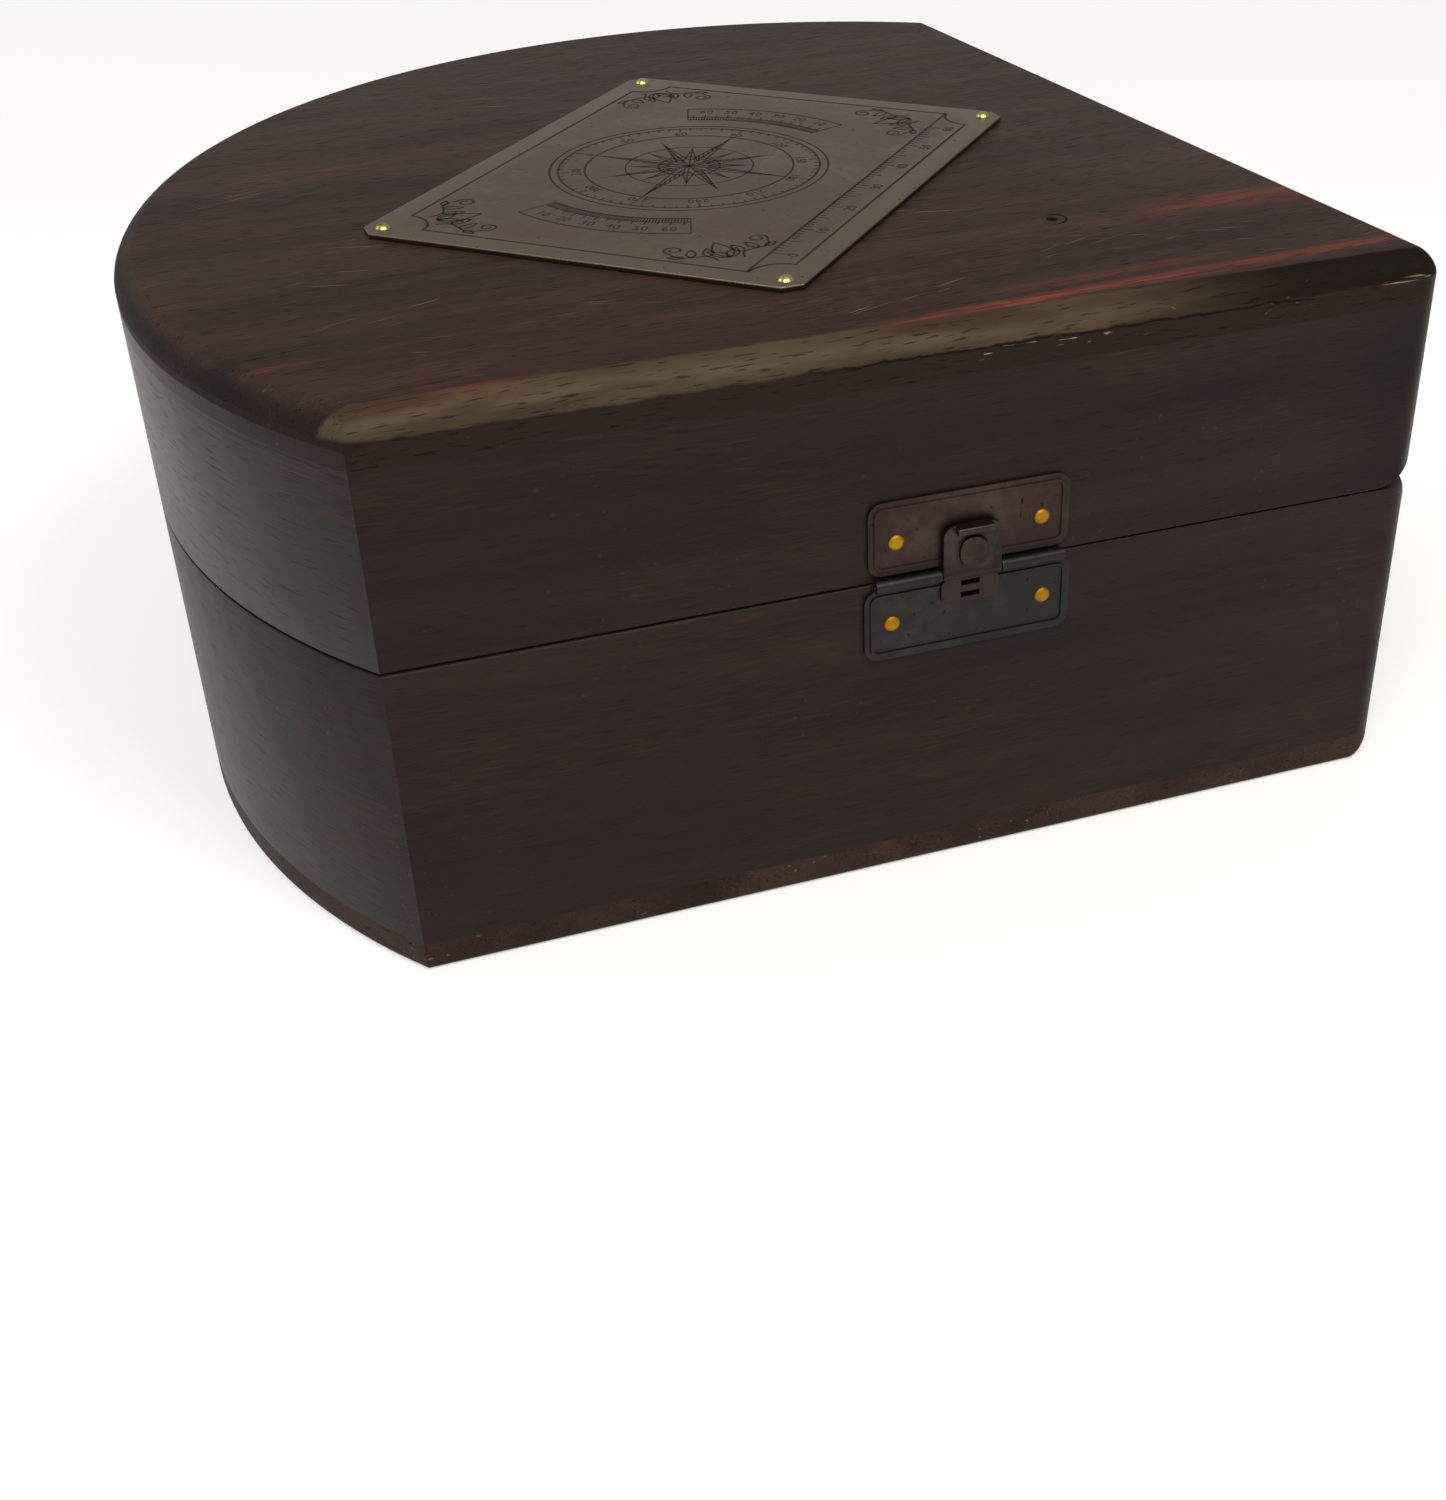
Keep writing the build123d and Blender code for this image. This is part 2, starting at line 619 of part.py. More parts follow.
# ---------------------------------------------------------------- nails that hold the metalwork
def nails_on(spots, sheet, length, head_diameter, head_height):
    """Nails whose heads bear on a sheet, one at each spot."""
    nail = domed_nail(sheet + length, head_diameter, head_height)
    return group(spot * Pos(0, 0, sheet) * nail for spot in spots)


def side_nails(spots, sheet):
    """Nails through a sheet on the outside of a wall."""
    return nails_on(spots, sheet, side_nail_length - nail_clearance, side_head_diameter, side_head_height)


def make_plaque_nails():
    length = top_board_thickness - nail_tip_cover - nail_clearance
    return nails_on(plaque_nail_spots(), plaque_thickness, length, plaque_head_diameter, plaque_head_height)


# ---------------------------------------------------------------- assembly
def make_nodes():
    """Every piece of the case by its node's name."""
    base_latch_wall, base_hinge_wall, base_curved_wall = make_base_walls()
    lid_latch_wall, lid_hinge_wall, lid_curved_wall = make_lid_walls()
    nodes = {
        "base_bottom_board": make_bottom_board(),
        "base_latch_side_wall": base_latch_wall,
        "base_hinge_side_wall": base_hinge_wall,
        "base_curved_wall": base_curved_wall,
        "bottom_board_nails": group(spot * board_nail() for spot in board_nail_spots()),
        "floor_lining": make_floor_lining(),
        "base_wall_lining": lining_ring(floor_level, base_height - rim_margin),
        "limb_rests": make_limb_rests(),
        "pivot_rest": make_pivot_rest(),
        "handle_cradle": make_handle_cradle(),
        "rest_felts": make_rest_felts(),
        "latch_lower_plate": make_latch_lower_plate(),
        "latch_lower_nails": side_nails(latch_nail_spots(latch_lower_nail_x, latch_lower_nail_y), latch_sheet),
        "latch_pin": make_latch_pin(),
        "base_hinge_nails": side_nails(hinge_nail_spots(-hinge_nail_y), hinge_sheet),
        "lid_top_board": make_top_board(),
        "lid_latch_side_wall": lid_latch_wall,
        "lid_hinge_side_wall": lid_hinge_wall,
        "lid_curved_wall": lid_curved_wall,
        "lid_wall_lining": lining_ring(lid_rim + rim_margin, ceiling_level),
        "lid_ceiling_lining": make_ceiling_lining(),
        "lid_plaque": make_plaque(),
        "plaque_nails": make_plaque_nails(),
        "latch_upper_plate": make_latch_upper_plate(),
        "latch_upper_nails": side_nails(latch_nail_spots(latch_upper_nail_x, latch_upper_nail_y), latch_sheet),
        "lid_hinge_nails": side_nails(hinge_nail_spots(hinge_nail_y), hinge_sheet),
        "hasp": make_hasp(),
    }
    for name, place in zip(("apex", "rear"), hinge_places):
        base_leaf, lid_leaf, pin = make_hinge(place)
        nodes[f"{name}_hinge_base_leaf"] = base_leaf
        nodes[f"{name}_hinge_lid_leaf"] = lid_leaf
        nodes[f"{name}_hinge_pin"] = pin
    return nodes


os.makedirs("parts", exist_ok=True)
for node_name, shape in make_nodes().items():
    export_step(shape, f"parts/{node_name}.step")
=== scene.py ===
"""Looks of a fan-shaped rosewood sextant case: boards, linings, brasswork, plaque, light and camera.

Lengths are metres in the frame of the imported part. The apex of the fan points along +X, the latch is on the
straight side towards -Y and the hinges are on the straight side towards +Y.
"""

import json
import logging
import math
from dataclasses import dataclass, field
from enum import Enum
from typing import Callable, Dict, List, Mapping, Optional, Sequence, Tuple, Union

import bpy
from mathutils import Matrix, Vector

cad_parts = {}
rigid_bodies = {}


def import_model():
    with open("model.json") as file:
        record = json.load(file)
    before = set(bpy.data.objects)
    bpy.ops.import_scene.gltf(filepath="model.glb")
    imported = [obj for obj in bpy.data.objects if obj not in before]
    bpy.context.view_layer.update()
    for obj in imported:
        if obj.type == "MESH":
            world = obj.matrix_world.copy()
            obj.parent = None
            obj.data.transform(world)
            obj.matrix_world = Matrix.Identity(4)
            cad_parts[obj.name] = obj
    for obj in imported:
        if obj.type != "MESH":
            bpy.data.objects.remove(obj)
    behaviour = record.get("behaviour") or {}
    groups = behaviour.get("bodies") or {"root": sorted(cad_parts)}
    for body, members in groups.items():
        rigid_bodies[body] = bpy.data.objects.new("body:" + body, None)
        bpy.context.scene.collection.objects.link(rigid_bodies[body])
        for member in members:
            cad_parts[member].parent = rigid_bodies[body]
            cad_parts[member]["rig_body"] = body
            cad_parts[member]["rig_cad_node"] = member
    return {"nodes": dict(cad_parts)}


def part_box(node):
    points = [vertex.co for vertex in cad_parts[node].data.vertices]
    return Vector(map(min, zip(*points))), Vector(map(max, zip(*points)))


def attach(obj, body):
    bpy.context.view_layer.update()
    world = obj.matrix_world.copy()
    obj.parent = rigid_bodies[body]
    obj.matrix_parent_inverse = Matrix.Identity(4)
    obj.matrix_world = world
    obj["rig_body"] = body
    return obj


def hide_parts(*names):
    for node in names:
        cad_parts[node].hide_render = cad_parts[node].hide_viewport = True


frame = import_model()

MM = 0.001
# Slack in metres between places that agree, and the closer one for places that a cut has just made.
NEAR = 1e-5
TOUCHING = 1e-6
LOG = logging.getLogger("sextant_case")

Colour = Tuple[float, float, float, float]
Point = Tuple[float, float, float]
Spot = Tuple[float, float]


def shade(red: int, green: int, blue: int) -> Colour:
    """Linear colour of a tint given in 0 to 255 as it looks on a screen.

    Args:
        red: Red from 0 to 255.
        green: Green from 0 to 255.
        blue: Blue from 0 to 255.

    Returns:
        The colour with an alpha of 1.
    """
    parts = []
    for part in (red, green, blue):
        share = part / 255
        parts.append(share / 12.92 if share <= 0.04045 else ((share + 0.055) / 1.055) ** 2.4)
    return (parts[0], parts[1], parts[2], 1.0)


def polar(center: Spot, radius: float, degree: float) -> Spot:
    """Point at a distance and angle from a centre."""
    angle = math.radians(degree)
    return center[0] + radius * math.cos(angle), center[1] + radius * math.sin(angle)


# ------------------------------------------------------------------------------------ shader kit
class Value:
    """A number that changes over a surface. Arithmetic on it adds Math nodes."""

    def __init__(self, shader: "Shader", output: bpy.types.NodeSocket) -> None:
        """Wrap one output socket of a shader's node."""
        self.shader = shader
        self.output = output

    def __add__(self, other: "Number") -> "Value":
        """Sum."""
        return self.shader.math("ADD", self, other)

    __radd__ = __add__

    def __sub__(self, other: "Number") -> "Value":
        """Difference."""
        return self.shader.math("SUBTRACT", self, other)

    def __rsub__(self, other: "Number") -> "Value":
        """Difference from a plain number."""
        return self.shader.math("SUBTRACT", other, self)

    def __mul__(self, other: "Number") -> "Value":
        """Product."""
        return self.shader.math("MULTIPLY", self, other)

    __rmul__ = __mul__

    def __truediv__(self, other: "Number") -> "Value":
        """Quotient."""
        return self.shader.math("DIVIDE", self, other)

    def __abs__(self) -> "Value":
        """Size without its sign."""
        return self.shader.math("ABSOLUTE", self)

    def steps(self, low: float, high: float) -> "Value":
        """Smooth rise from 0 at low to 1 at high, or fall where low is above high.

        Args:
            low: Value where the result is 0.
            high: Value where the result is 1.

        Returns:
            0 to 1.
        """
        settings = {"interpolation_type": "SMOOTHSTEP"}
        turned = low > high
        inputs = {"Value": self, "From Min": min(low, high), "From Max": max(low, high)}
        if turned:
            inputs.update({"To Min": 1.0, "To Max": 0.0})
        made = self.shader.node("ShaderNodeMapRange", settings, inputs)
        return Value(self.shader, made.outputs["Result"])

    def between(self, low: float, high: float, rise: float, fall: float) -> "Value":
        """1 from low to high, with a smooth rise after low and a smooth fall before high."""
        return self.steps(low, low + rise) * self.steps(high, high - fall)

    def band(self, middle: "Number", reach: float) -> "Value":
        """1 at middle, falling smoothly to 0 at reach on either side."""
        return abs(self - middle).steps(reach, 0.0)


Number = Union[float, Value]
Input = Union[Number, Sequence[float], bpy.types.NodeSocket]


def turned(x: Number, y: Number, angle: float) -> Tuple[Number, Number]:
    """Along a direction in plan, given in degrees from +X, and aside of it.

    Args:
        x: First coordinate.
        y: Second coordinate.
        angle: The direction, in degrees from +X.

    Returns:
        The place along the direction and the place aside of it.
    """
    cosine = math.cos(math.radians(angle))
    sine = math.sin(math.radians(angle))
    return x * cosine + y * sine, y * cosine - x * sine


class Shader:
    """One material's node tree, with a single method that adds any node."""

    def __init__(self, name: str) -> None:
        """Start an empty material.

        Args:
            name: The material's name.
        """
        self.material = bpy.data.materials.new(name)
        self.material.use_nodes = True
        self.tree = self.material.node_tree
        self.tree.nodes.clear()

    def node(
        self, kind: str, settings: Mapping[str, object], inputs: Mapping[object, Input]
    ) -> bpy.types.Node:
        """Add a node.

        Args:
            kind: The node's type.
            settings: Its properties, set first. A ramp's stops are given as "stops".
            inputs: The value or link of each socket, by its name or index.

        Returns:
            The node.
        """
        made = self.tree.nodes.new(kind)
        for key, value in settings.items():
            if key == "stops":
                self._set_stops(made.color_ramp, value)
            else:
                setattr(made, key, value)
        for key, value in inputs.items():
            self._feed(made.inputs[key], value)
        return made

    def _feed(self, socket: bpy.types.NodeSocket, value: Input) -> None:
        """Link a socket to a value, or set its plain number or colour.

        Args:
            socket: The input.
            value: What it gets.
        """
        if isinstance(value, Value):
            self.tree.links.new(value.output, socket)
        elif isinstance(value, bpy.types.NodeSocket):
            self.tree.links.new(value, socket)
        else:
            socket.default_value = value

    @staticmethod
    def _set_stops(ramp: bpy.types.ColorRamp, stops: Sequence[Tuple[float, Colour]]) -> None:
        """Give a ramp its stops.

        Args:
            ramp: The ramp.
            stops: Place and colour of each stop.
        """
        while len(ramp.elements) < len(stops):
            ramp.elements.new(1.0)
        for element, (place, colour) in zip(ramp.elements, stops):
            element.position = place
            element.color = colour

    def math(self, operation: str, *parts: Number) -> Value:
        """Add a Math node on numbers or values."""
        made = self.node("ShaderNodeMath", {"operation": operation}, dict(enumerate(parts)))
        return Value(self, made.outputs[0])

    def place(self) -> Tuple[Value, Value, Value]:
        """X, Y and Z of the surface point in the piece's own coordinates.

        Returns:
            The three coordinates, in metres.
        """
        made = self.node("ShaderNodeTexCoord", {}, {})
        split = self.node("ShaderNodeSeparateXYZ", {}, {0: made.outputs["Object"]})
        return Value(self, split.outputs[0]), Value(self, split.outputs[1]), Value(self, split.outputs[2])

    def vector(self, x: Number, y: Number, z: Number) -> bpy.types.NodeSocket:
        """Vector of three numbers."""
        return self.node("ShaderNodeCombineXYZ", {}, {0: x, 1: y, 2: z}).outputs[0]

    def distance(self, x: Value, y: Value) -> Value:
        """Distance from the origin in plan."""
        return self.math("SQRT", x * x + y * y)

    def noise(
        self, spot: bpy.types.NodeSocket, detail: float = 2.0, rough: float = 0.5, bend: float = 0.0
    ) -> Value:
        """Smooth noise of grain size 1 at a spot.

        Args:
            spot: Where, in grain sizes.
            detail: Octaves.
            rough: Share of each finer octave.
            bend: Distortion.

        Returns:
            The noise, about 0.2 to 0.8.
        """
        inputs = {"Vector": spot, "Scale": 1.0, "Detail": detail, "Roughness": rough, "Distortion": bend}
        return Value(self, self.node("ShaderNodeTexNoise", {}, inputs).outputs[0])

    def grain(
        self,
        place: Sequence[Value],
        sizes: Sequence[float],
        detail: float = 2.0,
        rough: float = 0.5,
        bend: float = 0.0,
    ) -> Value:
        """Smooth noise at a place, its grain sizes along the three axes given in millimetres."""
        spot = self.vector(*(part / (size * MM) for part, size in zip(place, sizes)))
        return self.noise(spot, detail, rough, bend)

    def ramp(self, value: Value, stops: Sequence[Tuple[float, Colour]]) -> bpy.types.NodeSocket:
        """Colour of a value through a ramp."""
        return self.node("ShaderNodeValToRGB", {"stops": stops}, {0: value}).outputs[0]

    def mix(self, share: Number, under: Input, over: Input) -> bpy.types.NodeSocket:
        """Colour between two, by a share of the upper one."""
        settings = {"data_type": "RGBA", "clamp_factor": True}
        return self.node("ShaderNodeMix", settings, {0: share, 6: under, 7: over}).outputs[2]

    def bump(self, height: Value) -> bpy.types.NodeSocket:
        """Normal of a relief whose height is in millimetres."""
        inputs = {"Strength": 1.0, "Distance": MM, "Height": height}
        return self.node("ShaderNodeBump", {}, inputs).outputs[0]

    def surface(self, inputs: Mapping[str, Input]) -> bpy.types.Material:
        """Close the tree with a Principled surface and return the material.

        Args:
            inputs: Value or link of each of the surface's sockets.

        Returns:
            The material.
        """
        body = self.node("ShaderNodeBsdfPrincipled", {}, inputs)
        self.node("ShaderNodeOutputMaterial", {}, {0: body.outputs[0]})
        return self.material


# ------------------------------------------------------------------------------------ finishes
# Tints of the marks that every piece of rosewood shares, and of the painted shade towards the apex (SHADOW).
SPLIT = shade(5, 4, 3)
PORE = shade(8, 6, 5)
PIT = shade(6, 4, 3)
SHADOW = shade(12, 8, 7)
CHIP = shade(150, 124, 92)
SCRATCH = shade(122, 100, 84)


@dataclass(frozen=True)
class Grain:
    """Run of the grain in a board or wall.

    Attributes:
        angle: Direction in plan from +X, in degrees.
        upright: Whether the wood stands on its edge, so that the grain's width runs up.
        bend_center: X of the axis that a bent wall goes round, or None for a straight one.
        bend_radius: Outer radius of a bent wall.
        start: Shift along the grain, so that no two pieces match.
    """

    angle: float = 0.0
    upright: bool = False
    bend_center: Optional[float] = None
    bend_radius: float = 0.0
    start: float = 0.0

    def axes(self, shader: Shader) -> Tuple[Value, Value, Value]:
        """Along, across and into the grain, in metres.

        Args:
            shader: The material's shader.

        Returns:
            The three places, in metres.
        """
        x, y, z = shader.place()
        if self.bend_center is None:
            along, aside = turned(x, y, self.angle)
        else:
            back = self.bend_center - x
            along = shader.math("ARCTAN2", y, back) * self.bend_radius
            aside = shader.distance(back, y)
        if self.upright:
            return along + self.start, z, aside
        return along + self.start, aside, z


@dataclass(frozen=True)
class Ember:
    """Reddish streak along the grain.

    Attributes:
        place: Middle, across the grain.
        reach: Half width.
        low: Where it starts along the grain.
        high: Where it ends along the grain.
        strength: Share of red at its middle.
    """

    place: float
    reach: float
    low: float
    high: float
    strength: float


@dataclass(frozen=True)
class Crack:
    """Fine dark split along the grain.

    Attributes:
        place: Where, across the grain.
        low: Where it starts along the grain.
        high: Where it ends along the grain.
        width: Half width of the split.
    """

    place: float
    low: float
    high: float
    width: float


@dataclass(frozen=True)
class RoundedEdge:
    """Hand-rounded upper edge of the top board along one straight side.

    Attributes:
        outward: Direction out of that side, in plan.
        face: Distance of the side's face from the origin.
        level: Height where the round ends and the board's upright edge starts.
        radius: Radius of the round.
        tint: Painted highlight on the round, where it reflects the light most.
        shaded: Painted shade on the rest of the round.
        upright: Colour of the upright edge under the round.
        rubbed_to: Where the painted highlight fades out into the painted shade, along the side.
        splits: Where the splits under the round start and end, along the side.
        chipped: Where the pale chips beside the splits start and end, along the side.
        streak: Where the pale streaks beside the apex start and end, along the side.
    """

    outward: Spot
    face: float
    level: float
    radius: float
    # The round's colours are a painted highlight and a painted shade.
    tint: Colour = shade(72, 61, 44)
    shaded: Colour = shade(12, 8, 5)
    upright: Colour = shade(30, 22, 19)
    rubbed_to: Spot = (0.014, 0.044)
    splits: Spot = (-0.018, 0.047)
    chipped: Spot = (0.001, 0.020)
    streak: Spot = (0.054, 0.0645)


@dataclass(frozen=True)
class BentSide:
    """Curved side of the top board: painted shade on its round, smoothed by handling on its upright face.

    Attributes:
        center: X of the axis that the side goes round.
        radius: Radius of the upright face.
        level: Height where the round ends.
        sag: How much lower the round's painted shade reaches at the latch side's end.
        tone: Colour of the upright face.
        grime: Painted shade on the round.
    """

    center: float
    radius: float
    level: float
    sag: float = 1.0 * MM
    tone: Colour = shade(30, 24, 22)
    grime: Colour = shade(17, 12, 9)


@dataclass(frozen=True)
class Knot:
    """Small dark pit with a curl beside it.

    Attributes:
        spot: The pit's middle in plan.
        size: The pit's radius.
    """

    spot: Spot
    size: float = 1.1 * MM


@dataclass(frozen=True)
class Rosewood:
    """Dark satin rosewood with fine grain, pores, reddish strands, splits and scratches.

    Attributes:
        name: The material's name.
        grain: Run of its grain.
        dark: Darkest colour of the figure.
        brown: Middle colour of the figure.
        light: Palest colour of the figure.
        red: Colour of the strands and streaks.
        embers: Reddish streaks.
        cracks: Dark splits.
        knots: Pits with their curls.
        edge: Rounded edge on the latch side, or None.
        side: Curved side of a board, or None.
        dim_from: X from which painted shade darkens the wood towards the apex, or None.
        gloss: Middle roughness.
        speckle: Share of the pores that show.
        strands: Share of red in the strands.
        wear: Share of the scratches that show.
        sheen: Specular level.
    """

    name: str
    grain: Grain
    dark: Colour = shade(34, 24, 20)
    brown: Colour = shade(47, 34, 28)
    light: Colour = shade(57, 41, 34)
    red: Colour = shade(120, 56, 38)
    embers: Tuple[Ember, ...] = ()
    cracks: Tuple[Crack, ...] = ()
    knots: Tuple[Knot, ...] = ()
    edge: Optional[RoundedEdge] = None
    side: Optional[BentSide] = None
    dim_from: Optional[float] = None
    gloss: float = 0.40
    speckle: float = 1.0
    strands: float = 0.24
    wear: float = 0.5
    sheen: float = 0.065

    def material(self) -> bpy.types.Material:
        """Build the material.

        Returns:
            The material.
        """
        shader = Shader(self.name)
        along, across, depth = self.grain.axes(shader)
        x, y, z = shader.place()
        sway = shader.grain((along, across, depth), (70, 20, 20), 2.0)
        swayed = across + (sway - 0.5) * (4 * MM)
        figure = shader.grain((along, swayed, depth), (110, 9, 9), 5.0, 0.66, 0.3)
        fibre = shader.grain((along, swayed, depth), (14, 0.42, 0.42), 3.0, 0.7)
        pore = shader.grain((along, swayed, depth), (3.2, 0.26, 0.26), 1.0)
        pores = pore.steps(0.60, 0.74) * self.speckle
        cloud = shader.grain((x, y, z), (30, 30, 30), 3.0, 0.6)
        strand = shader.grain((along, swayed, depth), (4.5, 0.34, 0.34), 2.0, 0.6)
        patch = shader.grain((along, across, depth), (30, 16, 16), 3.0, 0.6)

        colour = shader.ramp(figure, [(0.3, self.dark), (0.5, self.brown), (0.72, self.light)])
        reddish = strand.steps(0.46, 0.72) * patch.steps(0.36, 0.7) * self.strands
        colour = shader.mix(reddish, colour, self.red)
        colour = shader.mix(fibre.steps(0.45, 0.75) * 0.4, colour, self.dark)
        dulled: Number = 0.0
        if self.side:
            # Painted shade on the curved side's round; its upright face takes the wall's tone.
            round_shade_share, upright = self._bent(shader, self.side, x, y, z)
            colour = shader.mix(round_shade_share * 0.75, colour, self.side.grime)
            colour = shader.mix(upright * 0.85, colour, self.side.tone)
            pores = pores * (1.0 - upright * 0.6)
            dulled = round_shade_share * 0.2 - upright * 0.06
        # Painted shade, darker towards the apex.
        if self.dim_from:
            dim = x.steps(self.dim_from, self.dim_from + 11 * MM) * 0.5
            colour = shader.mix(dim, colour, SHADOW)
        for ember in self.embers:
            glow = self._ember(shader, ember, along, swayed, depth)
            if self.edge:
                glow = glow * z.steps(self.edge.level + 1.5 * MM, self.edge.level + 2.6 * MM)
            colour = shader.mix(glow, colour, self.red)
        height = fibre * 0.010 - pores * 0.02 + cloud * 0.5
        rough = self.gloss + (cloud - 0.5) * 0.12 + fibre * 0.06 + pores * 0.15 + dulled
        if self.edge:
            # Painted light on the latch-side round: a painted highlight that fades into painted shade towards
            # the apex.
            tint, round_painted_light, worn, split, chips, under = self._rounded(shader, self.edge, x, y, z)
            colour = shader.mix(under * 0.8, colour, self.edge.upright)
            colour = shader.mix(round_painted_light * 0.85, colour, tint)
            colour = shader.mix(split * 0.95, colour, SPLIT)
            colour = shader.mix(chips, colour, CHIP)
            height = height - split * 0.15
            rough = rough + round_painted_light * (0.18 - worn * 0.24)
        colour = shader.mix(pores * 0.7, colour, PORE)
        scratch = self._scratches(shader, x, y, z)
        colour = shader.mix(scratch * self.wear, colour, SCRATCH)
        height = height - scratch * 0.01
        for crack in self.cracks:
            split = self._crack(shader, crack, along, across)
            colour = shader.mix(split * 0.9, colour, SPLIT)
            height = height - split * 0.02
        for knot in self.knots:
            pit = self._knot(shader, knot, x, y)
            colour = shader.mix(pit, colour, PIT)
            height = height - pit * 0.3
            rough = rough + pit * 0.4
        return shader.surface(
            {
                "Base Color": colour,
                "Roughness": rough,
                "Specular IOR Level": self.sheen,
                "Normal": shader.bump(height),
            }
        )

    def _ember(self, shader: Shader, ember: Ember, along: Value, across: Value, depth: Value) -> Value:
        """Share of red in one streak.

        Args:
            shader: The material's shader.
            ember: The streak.
            along: Place along the grain.
            across: Place across the grain.
            depth: Place into the grain.

        Returns:
            0 to 1.
        """
        fine = shader.grain((along, across, depth), (12, 0.5, 0.5), 3.0, 0.7)
        patches = shader.grain((along, across, depth), (16, 4, 4), 2.0)
        ends = along.between(ember.low, ember.high, 12 * MM, 12 * MM)
        body = across.band(ember.place, ember.reach) * (fine.steps(0.36, 0.66) * 0.7 + 0.3)
        return body * ends * patches.steps(0.28, 0.52) * ember.strength

    def _rounded(
        self, shader: Shader, edge: RoundedEdge, x: Value, y: Value, z: Value
    ) -> Tuple[bpy.types.NodeSocket, Value, Value, Value, Value, Value]:
        """Looks of a rounded edge.

        Args:
            shader: The material's shader.
            edge: The edge.
            x: X of the surface point.
            y: Y of the surface point.
            z: Z of the surface point.

        Returns:
            Painted colour of the round, a highlight fading into shade, then shares: the round, its painted
            highlight, splits, chips and upright edge.
        """
        out = x * edge.outward[0] + y * edge.outward[1]
        along = y * edge.outward[0] - x * edge.outward[1]
        wander = shader.noise(shader.vector(along / (7 * MM), 0.0, 0.0), 3.0, 0.6)
        sweep = shader.noise(shader.vector(along / (16 * MM), z / (2 * MM), 5.0), 2.0)
        low_level = edge.level + (wander - 0.5) * (1.6 * MM)
        start = (wander - 0.5) * (1.0 * MM) + (edge.face - edge.radius * 1.1)
        round_painted_light = (out - start).steps(0.0, 0.6 * MM) * (z - low_level).steps(-0.2 * MM, 0.4 * MM)
        # Here worn is the share of painted highlight; the rest of the round gets painted shade.
        worn = along.steps(edge.rubbed_to[1], edge.rubbed_to[0]) * (sweep.steps(0.3, 0.6) * 0.5 + 0.5)
        tint = shader.mix(worn, edge.shaded, edge.tint)
        skin = out.steps(edge.face - 0.4 * MM, edge.face - 0.2 * MM)
        lengths = along.between(*edge.splits, 6 * MM, 4 * MM)
        gaps = shader.noise(shader.vector(along / (5 * MM), 3.0, 0.0), 2.0).steps(0.3, 0.42)
        split = (z - low_level).band(-0.1 * MM, 0.3 * MM) * skin * lengths * gaps
        flecks = shader.noise(shader.vector(along / (2.2 * MM), z / (0.3 * MM), 0.0), 0.0).steps(0.71, 0.75)
        chips = flecks * (z - low_level).band(-0.8 * MM, 0.8 * MM) * skin
        chips = chips * along.between(*edge.chipped, 2 * MM, 2 * MM)
        hair = shader.noise(shader.vector(along / (3.5 * MM), z / (0.22 * MM), 2.0), 1.0).steps(0.52, 0.62)
        climb = along * 0.08 + (edge.level - 4.4 * MM)
        ends = along.between(*edge.streak, 3 * MM, 1 * MM)
        streaks = hair * (z - climb).band(0.0, 0.45 * MM) * skin * ends
        under = skin * (z - low_level).steps(0.1 * MM, -0.2 * MM)
        return tint, round_painted_light, worn, split, shader.math("MAXIMUM", chips, streaks * 0.8), under

    def _bent(self, shader: Shader, side: BentSide, x: Value, y: Value, z: Value) -> Tuple[Value, Value]:
        """Shares of painted shade on the round of a curved side and of the smooth upright face under it.

        Args:
            shader: The material's shader.
            side: The curved side.
            x: X of the surface point.
            y: Y of the surface point.
            z: Z of the surface point.

        Returns:
            Share of painted shade and share of the upright face.
        """
        reach = shader.distance(x - side.center, y)
        foot = side.level - y.steps(-0.02, -0.075) * side.sag
        under = (z - foot).steps(0.1 * MM, -0.1 * MM)
        round_shade_share = reach.steps(side.radius - 2.6 * MM, side.radius - 0.4 * MM) * (1.0 - under)
        return round_shade_share, reach.steps(side.radius - 0.5 * MM, side.radius - 0.3 * MM) * under

    def _crack(self, shader: Shader, crack: Crack, along: Value, across: Value) -> Value:
        """1 in one split, wandering a little and fading at its ends.

        Args:
            shader: The material's shader.
            crack: The split.
            along: Place along the grain.
            across: Place across the grain.

        Returns:
            0 to 1.
        """
        wander = shader.noise(shader.vector(along / (9 * MM), crack.place / MM, 0.0), 3.0, 0.6)
        line = (wander - 0.5) * (1.2 * MM) + crack.place
        ends = along.between(crack.low, crack.high, 4 * MM, 4 * MM)
        return across.band(line, crack.width * 2) * ends

    def _knot(self, shader: Shader, knot: Knot, x: Value, y: Value) -> Value:
        """1 in the pit and in the curl beside it.

        Args:
            shader: The material's shader.
            knot: The pit.
            x: X of the surface point.
            y: Y of the surface point.

        Returns:
            0 to 1.
        """
        u = x - knot.spot[0]
        v = y - knot.spot[1]
        bent = shader.noise(shader.vector(x / (0.8 * MM), y / (0.8 * MM), 0.0), 2.0) * (0.4 * MM)
        reach = shader.distance(u, v) + bent
        pit = reach.steps(knot.size, knot.size * 0.55)
        curl = reach.band(knot.size * 1.8, 0.26 * MM) * (u + v).steps(-0.2 * MM, 1.0 * MM)
        return shader.math("MAXIMUM", pit, curl * 0.8)

    def _scratches(self, shader: Shader, x: Value, y: Value, z: Value) -> Value:
        """Sparse hairline scratches at two angles.

        Args:
            shader: The material's shader.
            x: X of the surface point.
            y: Y of the surface point.
            z: Z of the surface point.

        Returns:
            0 to 1.
        """
        total: Optional[Value] = None
        for angle in (28.0, 63.0):
            run, aside = turned(x, y, angle)
            hair = shader.grain((run, aside, z), (7, 0.25, 0.5), 0.0)
            region = shader.noise(shader.vector(run / 0.02, aside / 0.015, z / 0.02 + angle), 1.0)
            part = hair.steps(0.77, 0.83) * region.steps(0.55, 0.66)
            total = part if total is None else total + part
        return total


